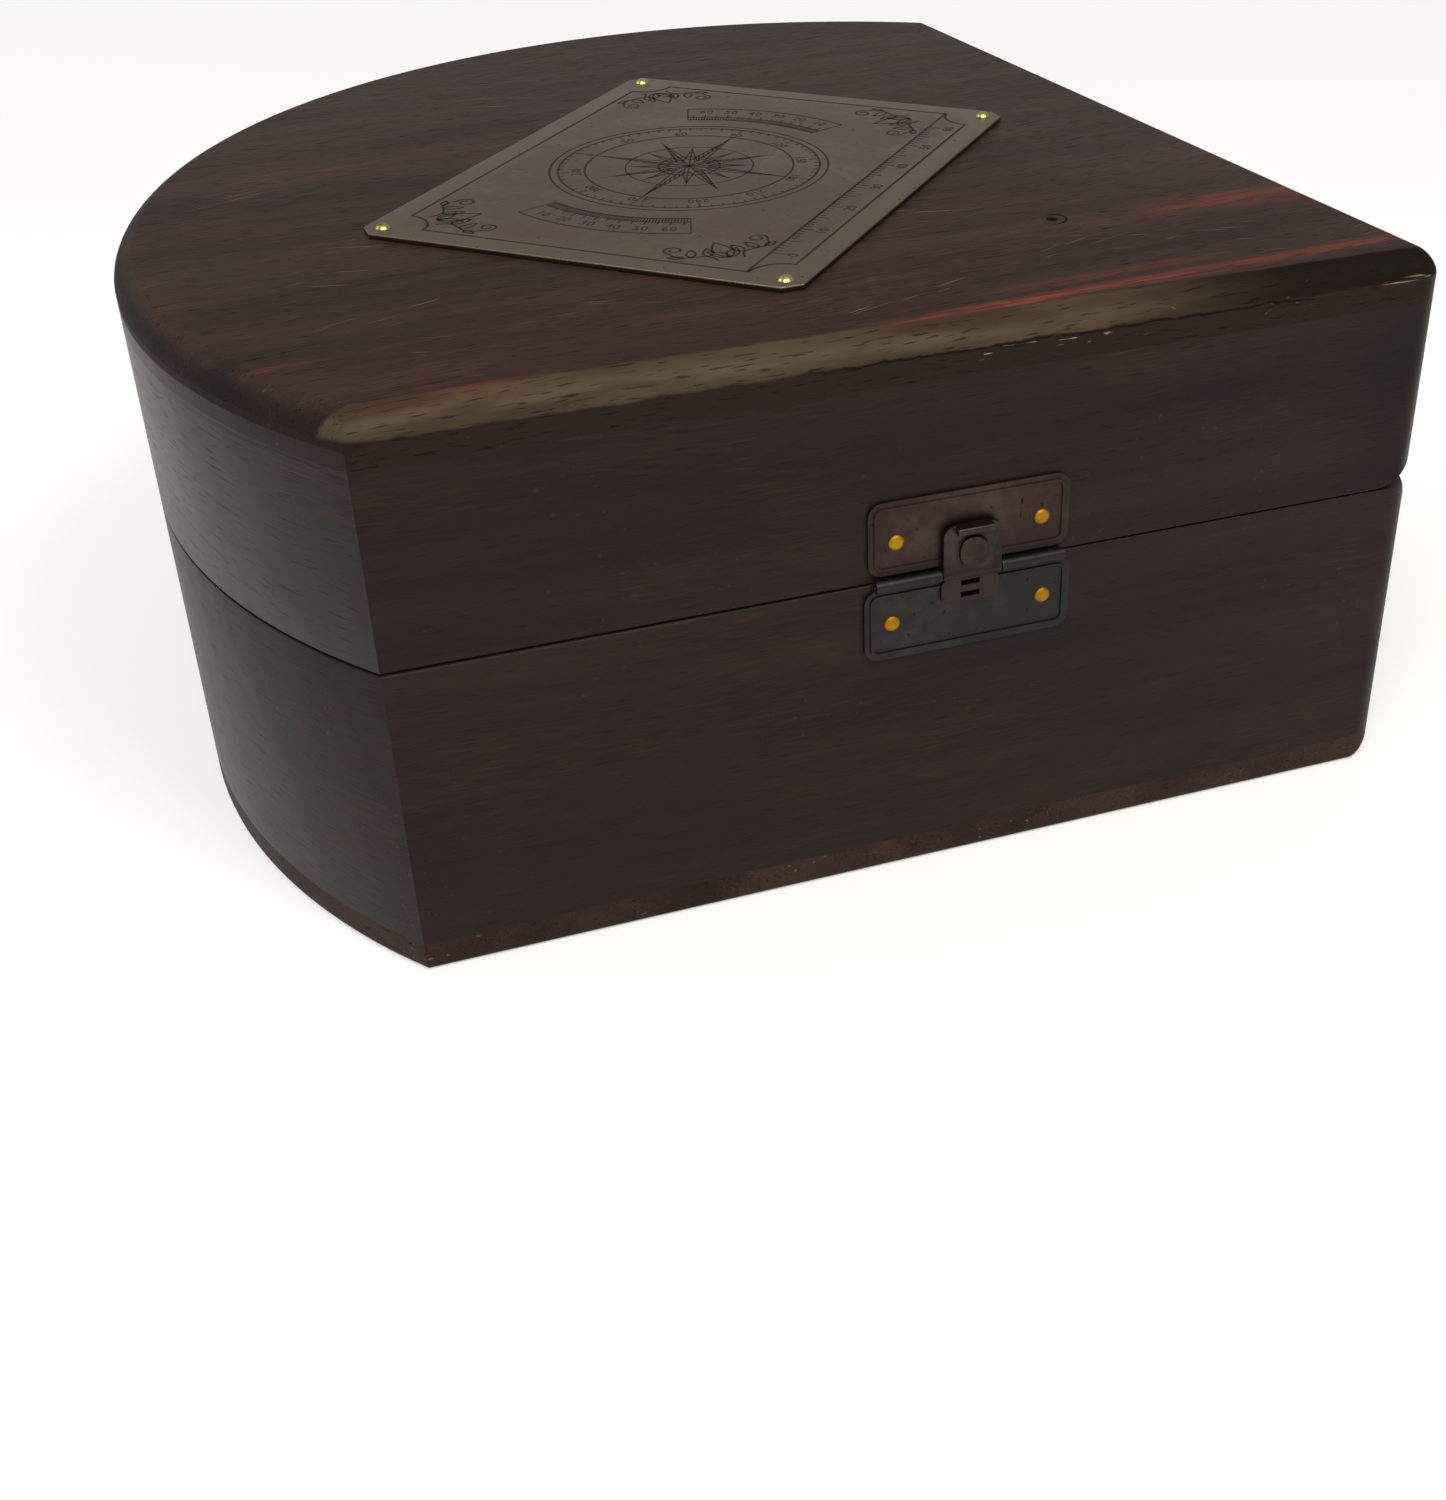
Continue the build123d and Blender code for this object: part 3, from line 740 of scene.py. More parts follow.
@dataclass(frozen=True)
class RestTimber:
    """Plain oiled hardwood of the rests inside."""

    name: str
    grain: Grain
    dark: Colour = shade(66, 34, 20)
    light: Colour = shade(118, 68, 40)

    def material(self) -> bpy.types.Material:
        """Build the material.

        Returns:
            The material.
        """
        shader = Shader(self.name)
        along, across, depth = self.grain.axes(shader)
        rings = shader.grain((along, across, depth), (60, 3, 3), 3.0, 0.6, 0.5)
        fibre = shader.grain((along, across, depth), (9, 0.3, 0.3), 2.0, 0.7)
        colour = shader.ramp(rings, [(0.35, self.dark), (0.65, self.light)])
        colour = shader.mix(fibre.steps(0.5, 0.75) * 0.5, colour, self.dark)
        height = fibre * 0.03 + rings * 0.05
        rough = 0.5 + fibre * 0.15
        return shader.surface({"Base Color": colour, "Roughness": rough, "Normal": shader.bump(height)})


@dataclass(frozen=True)
class AgedBrass:
    """Brass with a patina that lies in clouds, brushed hairlines and small dark spots.

    Attributes:
        name: The material's name.
        metal: Colour where it is rubbed.
        patina: Colour where it has darkened.
        share: How much of it has darkened, 0 to 1.
        gloss: Middle roughness.
        brush: Direction of the hairlines in plan, in degrees.
        relief: Depth of its unevenness in millimetres.
        panel: Middle and half size of the stretch that is handled less than its margin, or None.
        band: Middle and half width, along the hairlines, of a stretch of another tone, or None.
        band_foot: Height that the stretch reaches down to.
        band_tone: That tone.
        foot: Direction out of the wood and the distance along it under which it darkens, partly dirt and
            partly painted shade, or None.
    """

    name: str
    metal: Colour
    patina: Colour
    share: float
    gloss: float
    brush: float = 0.0
    relief: float = 0.03
    panel: Optional[Tuple[Spot, Spot]] = None
    band: Optional[Spot] = None
    band_foot: float = 0.0
    band_tone: Colour = shade(58, 48, 46)
    foot: Optional[Tuple[Vector, float]] = None

    def material(self) -> bpy.types.Material:
        """Build the material.

        Returns:
            The material.
        """
        shader = Shader(self.name)
        x, y, z = shader.place()
        run, aside = turned(x, y, self.brush)
        cloud = shader.grain((x, y, z), (14, 14, 14), 4.0, 0.65, 0.3)
        mottle = shader.grain((x, y, z), (1.6, 1.6, 1.6), 3.0, 0.6)
        hair = shader.grain((run, aside, z), (8, 0.12, 0.12), 2.0, 0.6)
        spots = shader.grain((x, y, z), (0.9, 0.9, 0.9), 1.0).steps(0.7, 0.78)
        middle = 0.75 - 0.5 * self.share
        dulled = (cloud * 0.7 + mottle * 0.3).steps(middle - 0.14, middle + 0.14)
        if self.panel:
            dulled = dulled * self._inside(shader, self.panel, x, y)
        colour = shader.mix(dulled, self.metal, self.patina)
        colour = shader.mix(hair.steps(0.5, 0.8) * 0.25, colour, self.metal)
        if self.band:
            middle_run, half_width = self.band
            inside = abs(run - middle_run).steps(half_width + 0.1 * MM, half_width - 0.1 * MM)
            inside = inside * z.steps(self.band_foot - 0.1 * MM, self.band_foot + 0.1 * MM)
            colour = shader.mix(inside * 0.9, colour, self.band_tone)
        colour = shader.mix(spots * 0.6, colour, shade(28, 22, 16))
        # Darker below a level: partly dirt, partly painted shade where the piece meets what it stands on.
        if self.foot:
            out, level = self.foot
            reach = x * out.x + y * out.y + z * out.z
            colour = shader.mix(reach.steps(level, level - 0.15 * MM) * 0.85, colour, shade(26, 20, 15))
        rough = self.gloss + dulled * 0.1 + (hair - 0.5) * 0.12 + spots * 0.2
        height = mottle * self.relief + hair * 0.006 - spots * 0.015 + cloud * self.relief
        inputs = {"Base Color": colour, "Metallic": 1.0, "Roughness": rough, "Normal": shader.bump(height)}
        return shader.surface(inputs)

    @staticmethod
    def _inside(shader: Shader, panel: Tuple[Spot, Spot], x: Value, y: Value) -> Value:
        """1 inside a panel, falling to a little at its edges.

        Args:
            shader: The material's shader.
            panel: Its middle and half size.
            x: X of the surface point.
            y: Y of the surface point.

        Returns:
            0.25 to 1.
        """
        (middle_x, middle_y), (half_x, half_y) = panel
        share = shader.math("MAXIMUM", abs(x - middle_x) / half_x, abs(y - middle_y) / half_y)
        return share.steps(1.02, 0.92) * 0.75 + 0.25


@dataclass(frozen=True)
class DullSteel:
    """Grey drawn steel wire of the pins."""

    name: str = "pin_steel"

    def material(self) -> bpy.types.Material:
        """Build the material.

        Returns:
            The material.
        """
        shader = Shader(self.name)
        x, y, z = shader.place()
        mottle = shader.grain((x, y, z), (1.1, 1.1, 1.1), 4.0, 0.7)
        colour = shader.mix(mottle.steps(0.4, 0.7), shade(112, 108, 102), shade(70, 58, 48))
        inputs = {
            "Base Color": colour,
            "Metallic": 1.0,
            "Roughness": 0.35 + mottle * 0.25,
            "Normal": shader.bump(mottle * 0.02),
        }
        return shader.surface(inputs)


@dataclass(frozen=True)
class Felt:
    """Short-piled felt or velvet with nap, lint and slightly uneven dye."""

    name: str
    deep: Colour = shade(66, 13, 18)
    worn: Colour = shade(90, 24, 29)

    def material(self) -> bpy.types.Material:
        """Build the material.

        Returns:
            The material.
        """
        shader = Shader(self.name)
        x, y, z = shader.place()
        pile = shader.grain((x, y, z), (0.35, 0.35, 0.35), 2.0, 0.7)
        nap = shader.grain((x, y, z), (16, 12, 16), 2.0, 0.5)
        lint = shader.grain((x, y, z), (1.3, 0.25, 0.6), 0.0).steps(0.79, 0.83)
        colour = shader.mix(nap.steps(0.3, 0.75) * 0.5 + pile.steps(0.3, 0.7) * 0.5, self.deep, self.worn)
        colour = shader.mix(lint * 0.4, colour, shade(170, 150, 140))
        inputs = {
            "Base Color": colour,
            "Roughness": 0.95,
            "Specular IOR Level": 0.1,
            "Sheen Weight": 0.25,
            "Sheen Roughness": 0.4,
            "Sheen Tint": shade(210, 120, 120),
            "Normal": shader.bump(pile * 0.2 + nap * 0.1),
        }
        return shader.surface(inputs)


@dataclass(frozen=True)
class BlackWax:
    """Dark wax and grime that fills engraved lines."""

    name: str = "engraving_wax"

    def material(self) -> bpy.types.Material:
        """Build the material.

        Returns:
            The material.
        """
        shader = Shader(self.name)
        x, y, z = shader.place()
        worn = shader.grain((x, y, z), (2.2, 2.2, 2.2), 3.0, 0.6)
        colour = shader.mix(worn.steps(0.5, 0.8), shade(17, 13, 11), shade(44, 36, 30))
        return shader.surface({"Base Color": colour, "Roughness": 0.6, "Specular IOR Level": 0.3})


# ------------------------------------------------------------------------------------ modelling
class Part(Enum):
    """What a selection is made of."""

    POINT = "VERT"
    EDGE = "EDGE"
    FACE = "FACE"


class Bench:
    """Modelling moves on one mesh, each an edit-mode operator on what is picked by place."""

    def __init__(self, piece: bpy.types.Object) -> None:
        """Put a piece on the bench."""
        self.piece = piece
        self.choose(piece)

    @staticmethod
    def choose(piece: bpy.types.Object) -> None:
        """Make one piece the only selected and the active one.

        Args:
            piece: The piece.
        """
        if bpy.context.object and bpy.context.object.mode != "OBJECT":
            bpy.ops.object.mode_set(mode="OBJECT")
        bpy.ops.object.select_all(action="DESELECT")
        piece.select_set(True)
        bpy.context.view_layer.objects.active = piece

    @staticmethod
    def clear() -> None:
        """Leave nothing selected before a primitive is added."""
        bpy.ops.object.select_all(action="DESELECT")

    @classmethod
    def newest(cls, name: str) -> "Bench":
        """Name the primitive that was just added, put its place in its mesh and take it to the bench.

        Args:
            name: The primitive's new name.

        Returns:
            The bench that it is on.
        """
        piece = bpy.context.object
        piece.name = name
        piece.data.name = name
        bench = cls(piece)
        bpy.ops.object.transform_apply(location=True, rotation=True, scale=True)
        return bench

    @classmethod
    def copy_of(cls, node: str, name: str) -> "Bench":
        """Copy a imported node's mesh under a new name, with its doubled corners merged.

        Args:
            node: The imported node.
            name: The copy's name.

        Returns:
            The bench that it is on.
        """
        piece = frame["nodes"][node].copy()
        piece.data = piece.data.copy()
        piece.name = name
        piece.data.name = name
        piece.parent = None
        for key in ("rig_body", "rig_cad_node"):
            del piece[key]
        bpy.context.scene.collection.objects.link(piece)
        piece.data.materials.clear()
        bench = cls(piece)
        bpy.ops.mesh.customdata_custom_splitnormals_clear()
        bench.all()
        bpy.ops.mesh.remove_doubles(threshold=0.002 * MM)
        bpy.ops.mesh.dissolve_limited(angle_limit=math.radians(0.5))
        bench.done()
        return bench

    def pick(self, part: Part, test: Callable[..., bool]) -> None:
        """Select by place.

        Args:
            part: What to select.
            test: Takes a point's place, an edge's two ends, or a face's middle and normal.
        """
        bpy.ops.object.mode_set(mode="EDIT")
        bpy.ops.mesh.select_mode(type=part.value)
        bpy.ops.mesh.select_all(action="DESELECT")
        bpy.ops.object.mode_set(mode="OBJECT")
        mesh = self.piece.data
        if part is Part.POINT:
            for point in mesh.vertices:
                point.select = test(point.co)
        elif part is Part.EDGE:
            for edge in mesh.edges:
                edge.select = test(*(mesh.vertices[index].co for index in edge.vertices))
        else:
            for face in mesh.polygons:
                face.select = test(face.center, face.normal)
        bpy.ops.object.mode_set(mode="EDIT")

    def pick_level(self, level: float, also: Callable[[Vector], bool] = lambda end: True) -> None:
        """Select the edges that lie at a level.

        Args:
            level: The height.
            also: A further test that both ends have to pass.
        """
        self.pick(Part.EDGE, lambda *ends: all(abs(end.z - level) < NEAR and also(end) for end in ends))

    def all(self) -> None:
        """Select the whole mesh."""
        bpy.ops.object.mode_set(mode="EDIT")
        bpy.ops.mesh.select_all(action="SELECT")

    def cut(
        self,
        place: Sequence[float],
        outward: Sequence[float],
        fill: bool,
        only: Optional[Callable[[Vector, Vector], bool]] = None,
    ) -> None:
        """Cut the mesh with a plane and drop what lies outward of it.

        Args:
            place: A point of the plane.
            outward: The plane's normal, towards what is dropped.
            fill: Whether the cut is closed with a face.
            only: Test for the faces that are cut, by middle and normal, or None for all of them.
        """
        if only:
            self.pick(Part.FACE, only)
        else:
            self.all()
        bpy.ops.mesh.bisect(plane_co=place, plane_no=outward, use_fill=fill, clear_outer=True, threshold=1e-7)

    def extrude(self, move: Sequence[float]) -> None:
        """Extrude what is picked by a move."""
        bpy.ops.mesh.extrude_region_move(TRANSFORM_OT_translate={"value": move})

    def bevel(self, width: float, segments: int, profile: float = 0.5) -> None:
        """Round the picked edges; a profile under a half is flatter than a quarter circle.

        Args:
            width: Distance from the edge to the round's ends.
            segments: Facets of the round.
            profile: 0.5 for a quarter circle.
        """
        bpy.ops.mesh.bevel(
            offset=width,
            offset_type="OFFSET",
            segments=segments,
            profile=profile,
            affect="EDGES",
            clamp_overlap=False,
        )

    def done(self, angle: float = 40.0) -> bpy.types.Object:
        """Close the mesh up, point its faces outwards and shade it smooth up to an angle.

        Args:
            angle: Edges sharper than this stay sharp, in degrees.

        Returns:
            The piece.
        """
        self.all()
        bpy.ops.mesh.remove_doubles(threshold=0.001 * MM)
        bpy.ops.mesh.normals_make_consistent(inside=False)
        bpy.ops.object.mode_set(mode="OBJECT")
        self.choose(self.piece)
        bpy.ops.object.shade_smooth_by_angle(angle=math.radians(angle))
        return self.piece

    def modifier(self, kind: str, **settings: object) -> None:
        """Add a modifier with its settings and apply it.

        Args:
            kind: The modifier's type.
            **settings: Its properties.
        """
        bpy.ops.object.mode_set(mode="OBJECT")
        self.choose(self.piece)
        made = self.piece.modifiers.new(kind.lower(), kind)
        for key, value in settings.items():
            setattr(made, key, value)
        bpy.ops.object.modifier_apply(modifier=made.name)

    def ease(self, width: float, angle: float) -> None:
        """Break every edge that is sharper than an angle."""
        self.modifier("BEVEL", width=width, segments=2, limit_method="ANGLE", angle_limit=math.radians(angle))


def finish_piece(
    piece: bpy.types.Object, material: bpy.types.Material, body: str, slot: str, *nodes: str
) -> bpy.types.Object:
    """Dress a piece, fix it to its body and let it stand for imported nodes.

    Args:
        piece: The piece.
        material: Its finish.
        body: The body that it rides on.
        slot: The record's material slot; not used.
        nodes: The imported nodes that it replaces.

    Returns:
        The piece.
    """
    piece.data.materials.clear()
    piece.data.materials.append(material)
    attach(piece, body)
    if nodes:
        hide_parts(*nodes)
    return piece


def dress_nodes(material: bpy.types.Material, *nodes: str) -> None:
    """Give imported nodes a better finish.

    Args:
        material: Its finish.
        *nodes: The nodes.
    """
    for node in nodes:
        for slot in frame["nodes"][node].material_slots:
            slot.material = material


# ------------------------------------------------------------------------------------ plan of the case
# Sign of Y on each straight side.
LATCH_SIDE = -1
HINGE_SIDE = 1


@dataclass
class Plan:
    """The fan that the case has in plan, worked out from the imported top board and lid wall."""

    apex_angle: float = 84.0
    apex_rounding: float = 3.5 * MM
    wall: float = 7.0 * MM
    arc_steps: int = 360
    corner_gap: float = 4.0 * MM
    half_angle: float = field(init=False)
    apex_x: float = field(init=False)
    corner: Spot = field(init=False)
    arc_radius: float = field(init=False)
    arc_center: float = field(init=False)
    nose: float = field(init=False)

    def __post_init__(self) -> None:
        """Work out the apex, the corners and the arc."""
        low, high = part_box("lid_top_board")
        self.half_angle = math.radians(self.apex_angle / 2)
        self.nose = self.apex_rounding * (1 / math.sin(self.half_angle) - 1)
        self.apex_x = high.x + self.nose
        half_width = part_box("lid_curved_wall")[1].y
        corner_x = self.apex_x - half_width / math.tan(self.half_angle)
        rise = corner_x - low.x
        self.corner = (corner_x, half_width)
        self.arc_radius = (half_width**2 + rise**2) / (2 * rise)
        self.arc_center = low.x + self.arc_radius

    def outward(self, side: int) -> Vector:
        """Direction out of a straight side: -1 for the latch side, 1 for the hinge side."""
        return Vector((math.sin(self.half_angle), side * math.cos(self.half_angle), 0))

    def inner_corner(self, inset: float) -> Spot:
        """Corner between a straight side and the curved side, with both moved in by inset.

        Args:
            inset: The distance, in metres.

        Returns:
            The corner on the +Y side.
        """
        reach = self.apex_x - self.arc_center - inset / math.sin(self.half_angle)
        radius = self.arc_radius - inset
        aside = reach * math.sin(self.half_angle)
        along = reach * math.cos(self.half_angle) + math.sqrt(radius**2 - aside**2)
        return self.arc_center + reach - along * math.cos(self.half_angle), along * math.sin(self.half_angle)

    def mitre(self, side: int) -> Tuple[Vector, Vector]:
        """A point of the mitre at a side's rear corner, and the direction from it towards the curved wall.

        Args:
            side: -1 for the latch side, 1 for the hinge side.

        Returns:
            The point and the direction.
        """
        outer = self.corner
        inner = self.inner_corner(self.wall)
        across = Vector((inner[0] - outer[0], side * (inner[1] - outer[1]), 0))
        normal = Vector((-across.y, across.x, 0)) * side
        if normal.x > 0:
            normal.negate()
        return Vector((outer[0], side * outer[1], 0)), normal.normalized()

    def sheet(self, name: str, level: float, inset: float = 0.0) -> Bench:
        """Flat sheet with the fan's outline: a disc with its two straight sides cut off.

        Args:
            name: The piece's name.
            level: Its height.
            inset: How far its outline lies inside the case's.

        Returns:
            The piece on the bench.
        """
        Bench.clear()
        bpy.ops.mesh.primitive_circle_add(
            vertices=self.arc_steps,
            radius=self.arc_radius - inset,
            fill_type="NGON",
            location=(self.arc_center, 0, level),
        )
        bench = Bench.newest(name)
        apex = Vector((self.apex_x - inset / math.sin(self.half_angle), 0, level))
        for side in (LATCH_SIDE, HINGE_SIDE):
            bench.cut(apex, self.outward(side), fill=False)
        x, y = self.inner_corner(inset)
        corners = [Vector((x, side * y, level)) for side in (LATCH_SIDE, HINGE_SIDE)]
        gap = self.corner_gap
        bench.pick(Part.POINT, lambda p: any(NEAR < (p - corner).length < gap for corner in corners))
        bpy.ops.mesh.dissolve_verts()
        return bench

    def board(self, name: str, bottom: float, top: float) -> Bench:
        """Board with the fan's outline and its upright apex edge rounded.

        Args:
            name: The piece's name.
            bottom: Level of its underside.
            top: Level of its top.

        Returns:
            The piece on the bench.
        """
        bench = self.sheet(name, bottom)
        bench.all()
        bench.extrude((0, 0, top - bottom))
        tip = self.apex_x
        bench.pick(Part.EDGE, lambda *ends: all(abs(end.x - tip) < NEAR for end in ends))
        bench.bevel(self.nose / ((2 - math.sqrt(2)) * math.cos(self.half_angle)), 10)
        return bench

    def ring(self, name: str, bottom: float, top: float, inset: float, thickness: float) -> Bench:
        """Upright ring with the fan's outline.

        Args:
            name: The piece's name.
            bottom: Level of its lower edge.
            top: Level of its upper edge.
            inset: How far its outside lies inside the case's outline.
            thickness: Its thickness, inwards.

        Returns:
            The piece on the bench.
        """
        bench = self.sheet(name, bottom, inset)
        bench.all()
        bpy.ops.mesh.inset(thickness=thickness)
        bpy.ops.mesh.delete(type="FACE")
        bench.all()
        bench.extrude((0, 0, top - bottom))
        return bench

    def round_apex(self, bench: Bench, level: float, inward: int, radius: float, facets: int = 6) -> None:
        """Round the apex off in elevation where it meets a level, by a fan of plane cuts.

        Args:
            bench: The piece.
            level: Height of the rim or underside.
            inward: 1 if the wood is above that level, -1 if it is below.
            radius: Radius of the round.
            facets: Number of cuts.
        """
        middle = Vector((self.apex_x - self.nose - radius, 0, level + inward * radius))
        for index in range(facets):
            angle = math.radians(90 * (index + 0.5) / facets)
            outward = Vector((math.cos(angle), 0, -inward * math.sin(angle)))
            bench.cut(middle + outward * radius, outward, fill=True)


# ------------------------------------------------------------------------------------ wood
@dataclass
class CaseBoards:
    """The top and bottom boards."""

    plan: Plan
    roundover: float = 3.0 * MM
    round_profile: float = 0.4
    underside_easing: float = 1.0 * MM
    foot_round: float = 2.8 * MM
    grain_lean: float = 3.5

    def build(self) -> List[bpy.types.Object]:
        """Make and dress both boards."""
        return [self.top(), self.bottom()]

    def top(self) -> bpy.types.Object:
        """Top board with its upper edge rounded down to a crisp arris, and streaks along the latch side.

        Returns:
            The piece.
        """
        low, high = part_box("lid_top_board")
        bench = self.plan.board("rosewood_top_board", low.z, high.z)
        foot = high.z - self.roundover
        bench.pick_level(high.z)
        bench.bevel(self.roundover, 8, self.round_profile)
        bench.pick_level(foot)
        bpy.ops.mesh.mark_sharp()
        piece = bench.done(30)
        outward = self.plan.outward(LATCH_SIDE)
        face = self.plan.apex_x * outward.x
        lean = math.radians(self.grain_lean)

        def across(inside: float, along: float) -> float:
            """Place across the grain of a point inside the latch side's face and along it from the foot."""
            return (inside - face) * math.cos(lean) - along * math.sin(lean)

        embers = (
            Ember(across(4.1 * MM, 0.007), 2.1 * MM, -0.018, 0.062, 0.9),
            Ember(across(8.5 * MM, 0.020), 1.6 * MM, 0.000, 0.040, 0.35),
            Ember(across(1.6 * MM, -0.060), 2.0 * MM, -0.078, -0.044, 0.8),
            Ember(across(15.6 * MM, -0.074), 1.2 * MM, -0.084, -0.060, 0.35),
            Ember(across(28.0 * MM, 0.056), 6.0 * MM, 0.030, 0.078, 0.5),
        )
        finish = Rosewood(
            "rosewood_top",
            Grain(angle=math.degrees(self.plan.half_angle) + self.grain_lean),
            embers=embers,
            knots=(Knot((38.2 * MM, -5.0 * MM)),),
            edge=RoundedEdge((outward.x, outward.y), face, foot, self.roundover),
            side=BentSide(self.plan.arc_center, self.plan.arc_radius, foot),
        )
        return finish_piece(piece, finish.material(), "lid", "case_wood", "lid_top_board")

    def bottom(self) -> bpy.types.Object:
        """Bottom board with an eased lower edge.

        Returns:
            The piece.
        """
        low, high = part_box("base_bottom_board")
        bench = self.plan.board("rosewood_bottom_board", low.z, high.z)
        bench.pick_level(low.z)
        bench.bevel(self.underside_easing, 4)
        self.plan.round_apex(bench, low.z, 1, self.foot_round)
        piece = bench.done(30)
        finish = Rosewood("rosewood_bottom", Grain(angle=0.0, start=0.31), gloss=0.5)
        return finish_piece(piece, finish.material(), "base", "case_wood", "base_bottom_board")


@dataclass(frozen=True)
class WallSet:
    """One half of the case's walls.

    Attributes:
        half: "base" or "lid".
        rim_is_top: Whether the rim is the upper edge.
        apex_round: Radius that the rim has at the apex, seen from the side.
        start: Shift of the grain, so that the halves don't match.
    """

    half: str
    rim_is_top: bool
    apex_round: float
    start: float


@dataclass
class CaseWalls:
    """Two mitred straight walls and a bent one, in the base and in the lid."""

    plan: Plan
    rim_easing: float = 0.3 * MM
    sets: Tuple[WallSet, ...] = (
        WallSet("base", True, 2.2 * MM, 0.11),
        WallSet("lid", False, 3.0 * MM, 0.47),
    )

    def build(self) -> List[bpy.types.Object]:
        """Make and dress all six walls.

        Returns:
            The walls.
        """
        made = []
        for walls in self.sets:
            for side, word in ((LATCH_SIDE, "latch_side"), (HINGE_SIDE, "hinge_side")):
                made.append(self.straight(walls, side, word))
            made.append(self.curved(walls))
        return made

    def straight(self, walls: WallSet, side: int, word: str) -> bpy.types.Object:
        """One straight wall: the fan's block cut back to its slab, its mitres and its eased rim.

        Args:
            walls: The half that it belongs to.
            side: -1 for the latch side, 1 for the hinge side.
            word: The side's word in the node's name.

        Returns:
            The piece.
        """
        node = f"{walls.half}_{word}_wall"
        low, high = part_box(node)
        bench = self.plan.board(f"rosewood_{node}", low.z, high.z)
        outward = self.plan.outward(side)
        face = Vector((self.plan.apex_x, 0, 0))
        bench.cut(face - outward * self.plan.wall, -outward, fill=True)
        bench.cut((0, 0, 0), (0, -side, 0), fill=True)
        place, rearward = self.plan.mitre(side)
        bench.cut(place, rearward, fill=True)
        rim = high.z if walls.rim_is_top else low.z
        self.plan.round_apex(bench, rim, -1 if walls.rim_is_top else 1, walls.apex_round)
        bench.pick_level(rim, lambda end: abs((end - face).dot(outward)) < NEAR)
        bench.bevel(self.rim_easing, 2)
        piece = bench.done(30)
        slope = side * -math.degrees(self.plan.half_angle)
        finish = Rosewood(
            f"rosewood_{node}",
            Grain(angle=slope, upright=True, start=walls.start + 0.2 * side),
            dark=shade(22, 15, 13),
            brown=shade(31, 22, 19),
            light=shade(39, 28, 25),
            speckle=0.6,
            strands=0.08,
            wear=0.06,
            sheen=0.12,
            # Painted shade towards the apex on the lid's walls.
            dim_from=self.plan.apex_x - 13 * MM if walls.half == "lid" else None,
        )
        return finish_piece(piece, finish.material(), walls.half, "case_wood", node)

    def curved(self, walls: WallSet) -> bpy.types.Object:
        """The bent wall: an upright rectangle spun round the arc's centre and mitred at both ends.

        Args:
            walls: The half that it belongs to.

        Returns:
            The piece.
        """
        node = f"{walls.half}_curved_wall"
        low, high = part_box(node)
        plan = self.plan
        middle = plan.arc_center - plan.arc_radius + plan.wall / 2
        Bench.clear()
        bpy.ops.mesh.primitive_plane_add(
            size=1, location=(middle, 0, (low.z + high.z) / 2), rotation=(math.pi / 2, 0, 0)
        )
        bpy.context.object.scale = (plan.wall, high.z - low.z, 1)
        bench = Bench.newest(f"rosewood_{node}")
        half_turn = math.radians(95)
        center = (plan.arc_center, 0, 0)
        bench.all()
        bpy.ops.transform.rotate(value=-half_turn, orient_axis="Z", center_override=center)
        bpy.ops.mesh.spin(steps=plan.arc_steps, angle=2 * half_turn, center=center, axis=(0, 0, 1))
        for side in (LATCH_SIDE, HINGE_SIDE):
            place, rearward = plan.mitre(side)
            bench.cut(place, -rearward, fill=True, only=lambda middle, _, side=side: middle.y * side > 0)
        bench.all()
        bpy.ops.mesh.remove_doubles(threshold=0.001 * MM)
        rim = high.z if walls.rim_is_top else low.z
        bench.pick_level(
            rim, lambda end: abs(math.hypot(end.x - plan.arc_center, end.y) - plan.arc_radius) < 2 * NEAR
        )
        bench.bevel(self.rim_easing, 2)
        piece = bench.done(30)
        cracks = ()
        if walls.half == "lid":
            top = high.z
            cracks = (
                Crack(top - 0.4 * MM, walls.start - 0.122, walls.start - 0.092, width=0.22 * MM),
                Crack(top - 1.4 * MM, walls.start - 0.0895, walls.start - 0.0815, width=0.10 * MM),
                Crack(top - 2.2 * MM, walls.start - 0.0915, walls.start - 0.0835, width=0.08 * MM),
            )
        finish = Rosewood(
            f"rosewood_{node}",
            Grain(upright=True, bend_center=plan.arc_center, bend_radius=plan.arc_radius, start=walls.start),
            cracks=cracks,
            speckle=0.7,
            dark=shade(20, 15, 13),
            brown=shade(28, 21, 19),
            light=shade(35, 27, 24),
            strands=0.12,
            wear=0.15,
            gloss=0.34,
            sheen=0.12,
        )
        return finish_piece(piece, finish.material(), walls.half, "case_wood", node)


@dataclass
class InstrumentRests:
    """The shaped wooden rests inside the base."""

    edge: float = 0.35 * MM

    def build(self) -> List[bpy.types.Object]:
        """Make and dress the rests.

        Returns:
            The rests.
        """
        timber = RestTimber("rest_timber", Grain(angle=0.0)).material()
        made = []
        for node in ("limb_rests", "pivot_rest", "handle_cradle"):
            bench = Bench.copy_of(node, f"{node}_timber")
            bench.ease(self.edge, 35)
            piece = bench.done(35)
            made.append(finish_piece(piece, timber, "base", "rest_wood", node))
        return made


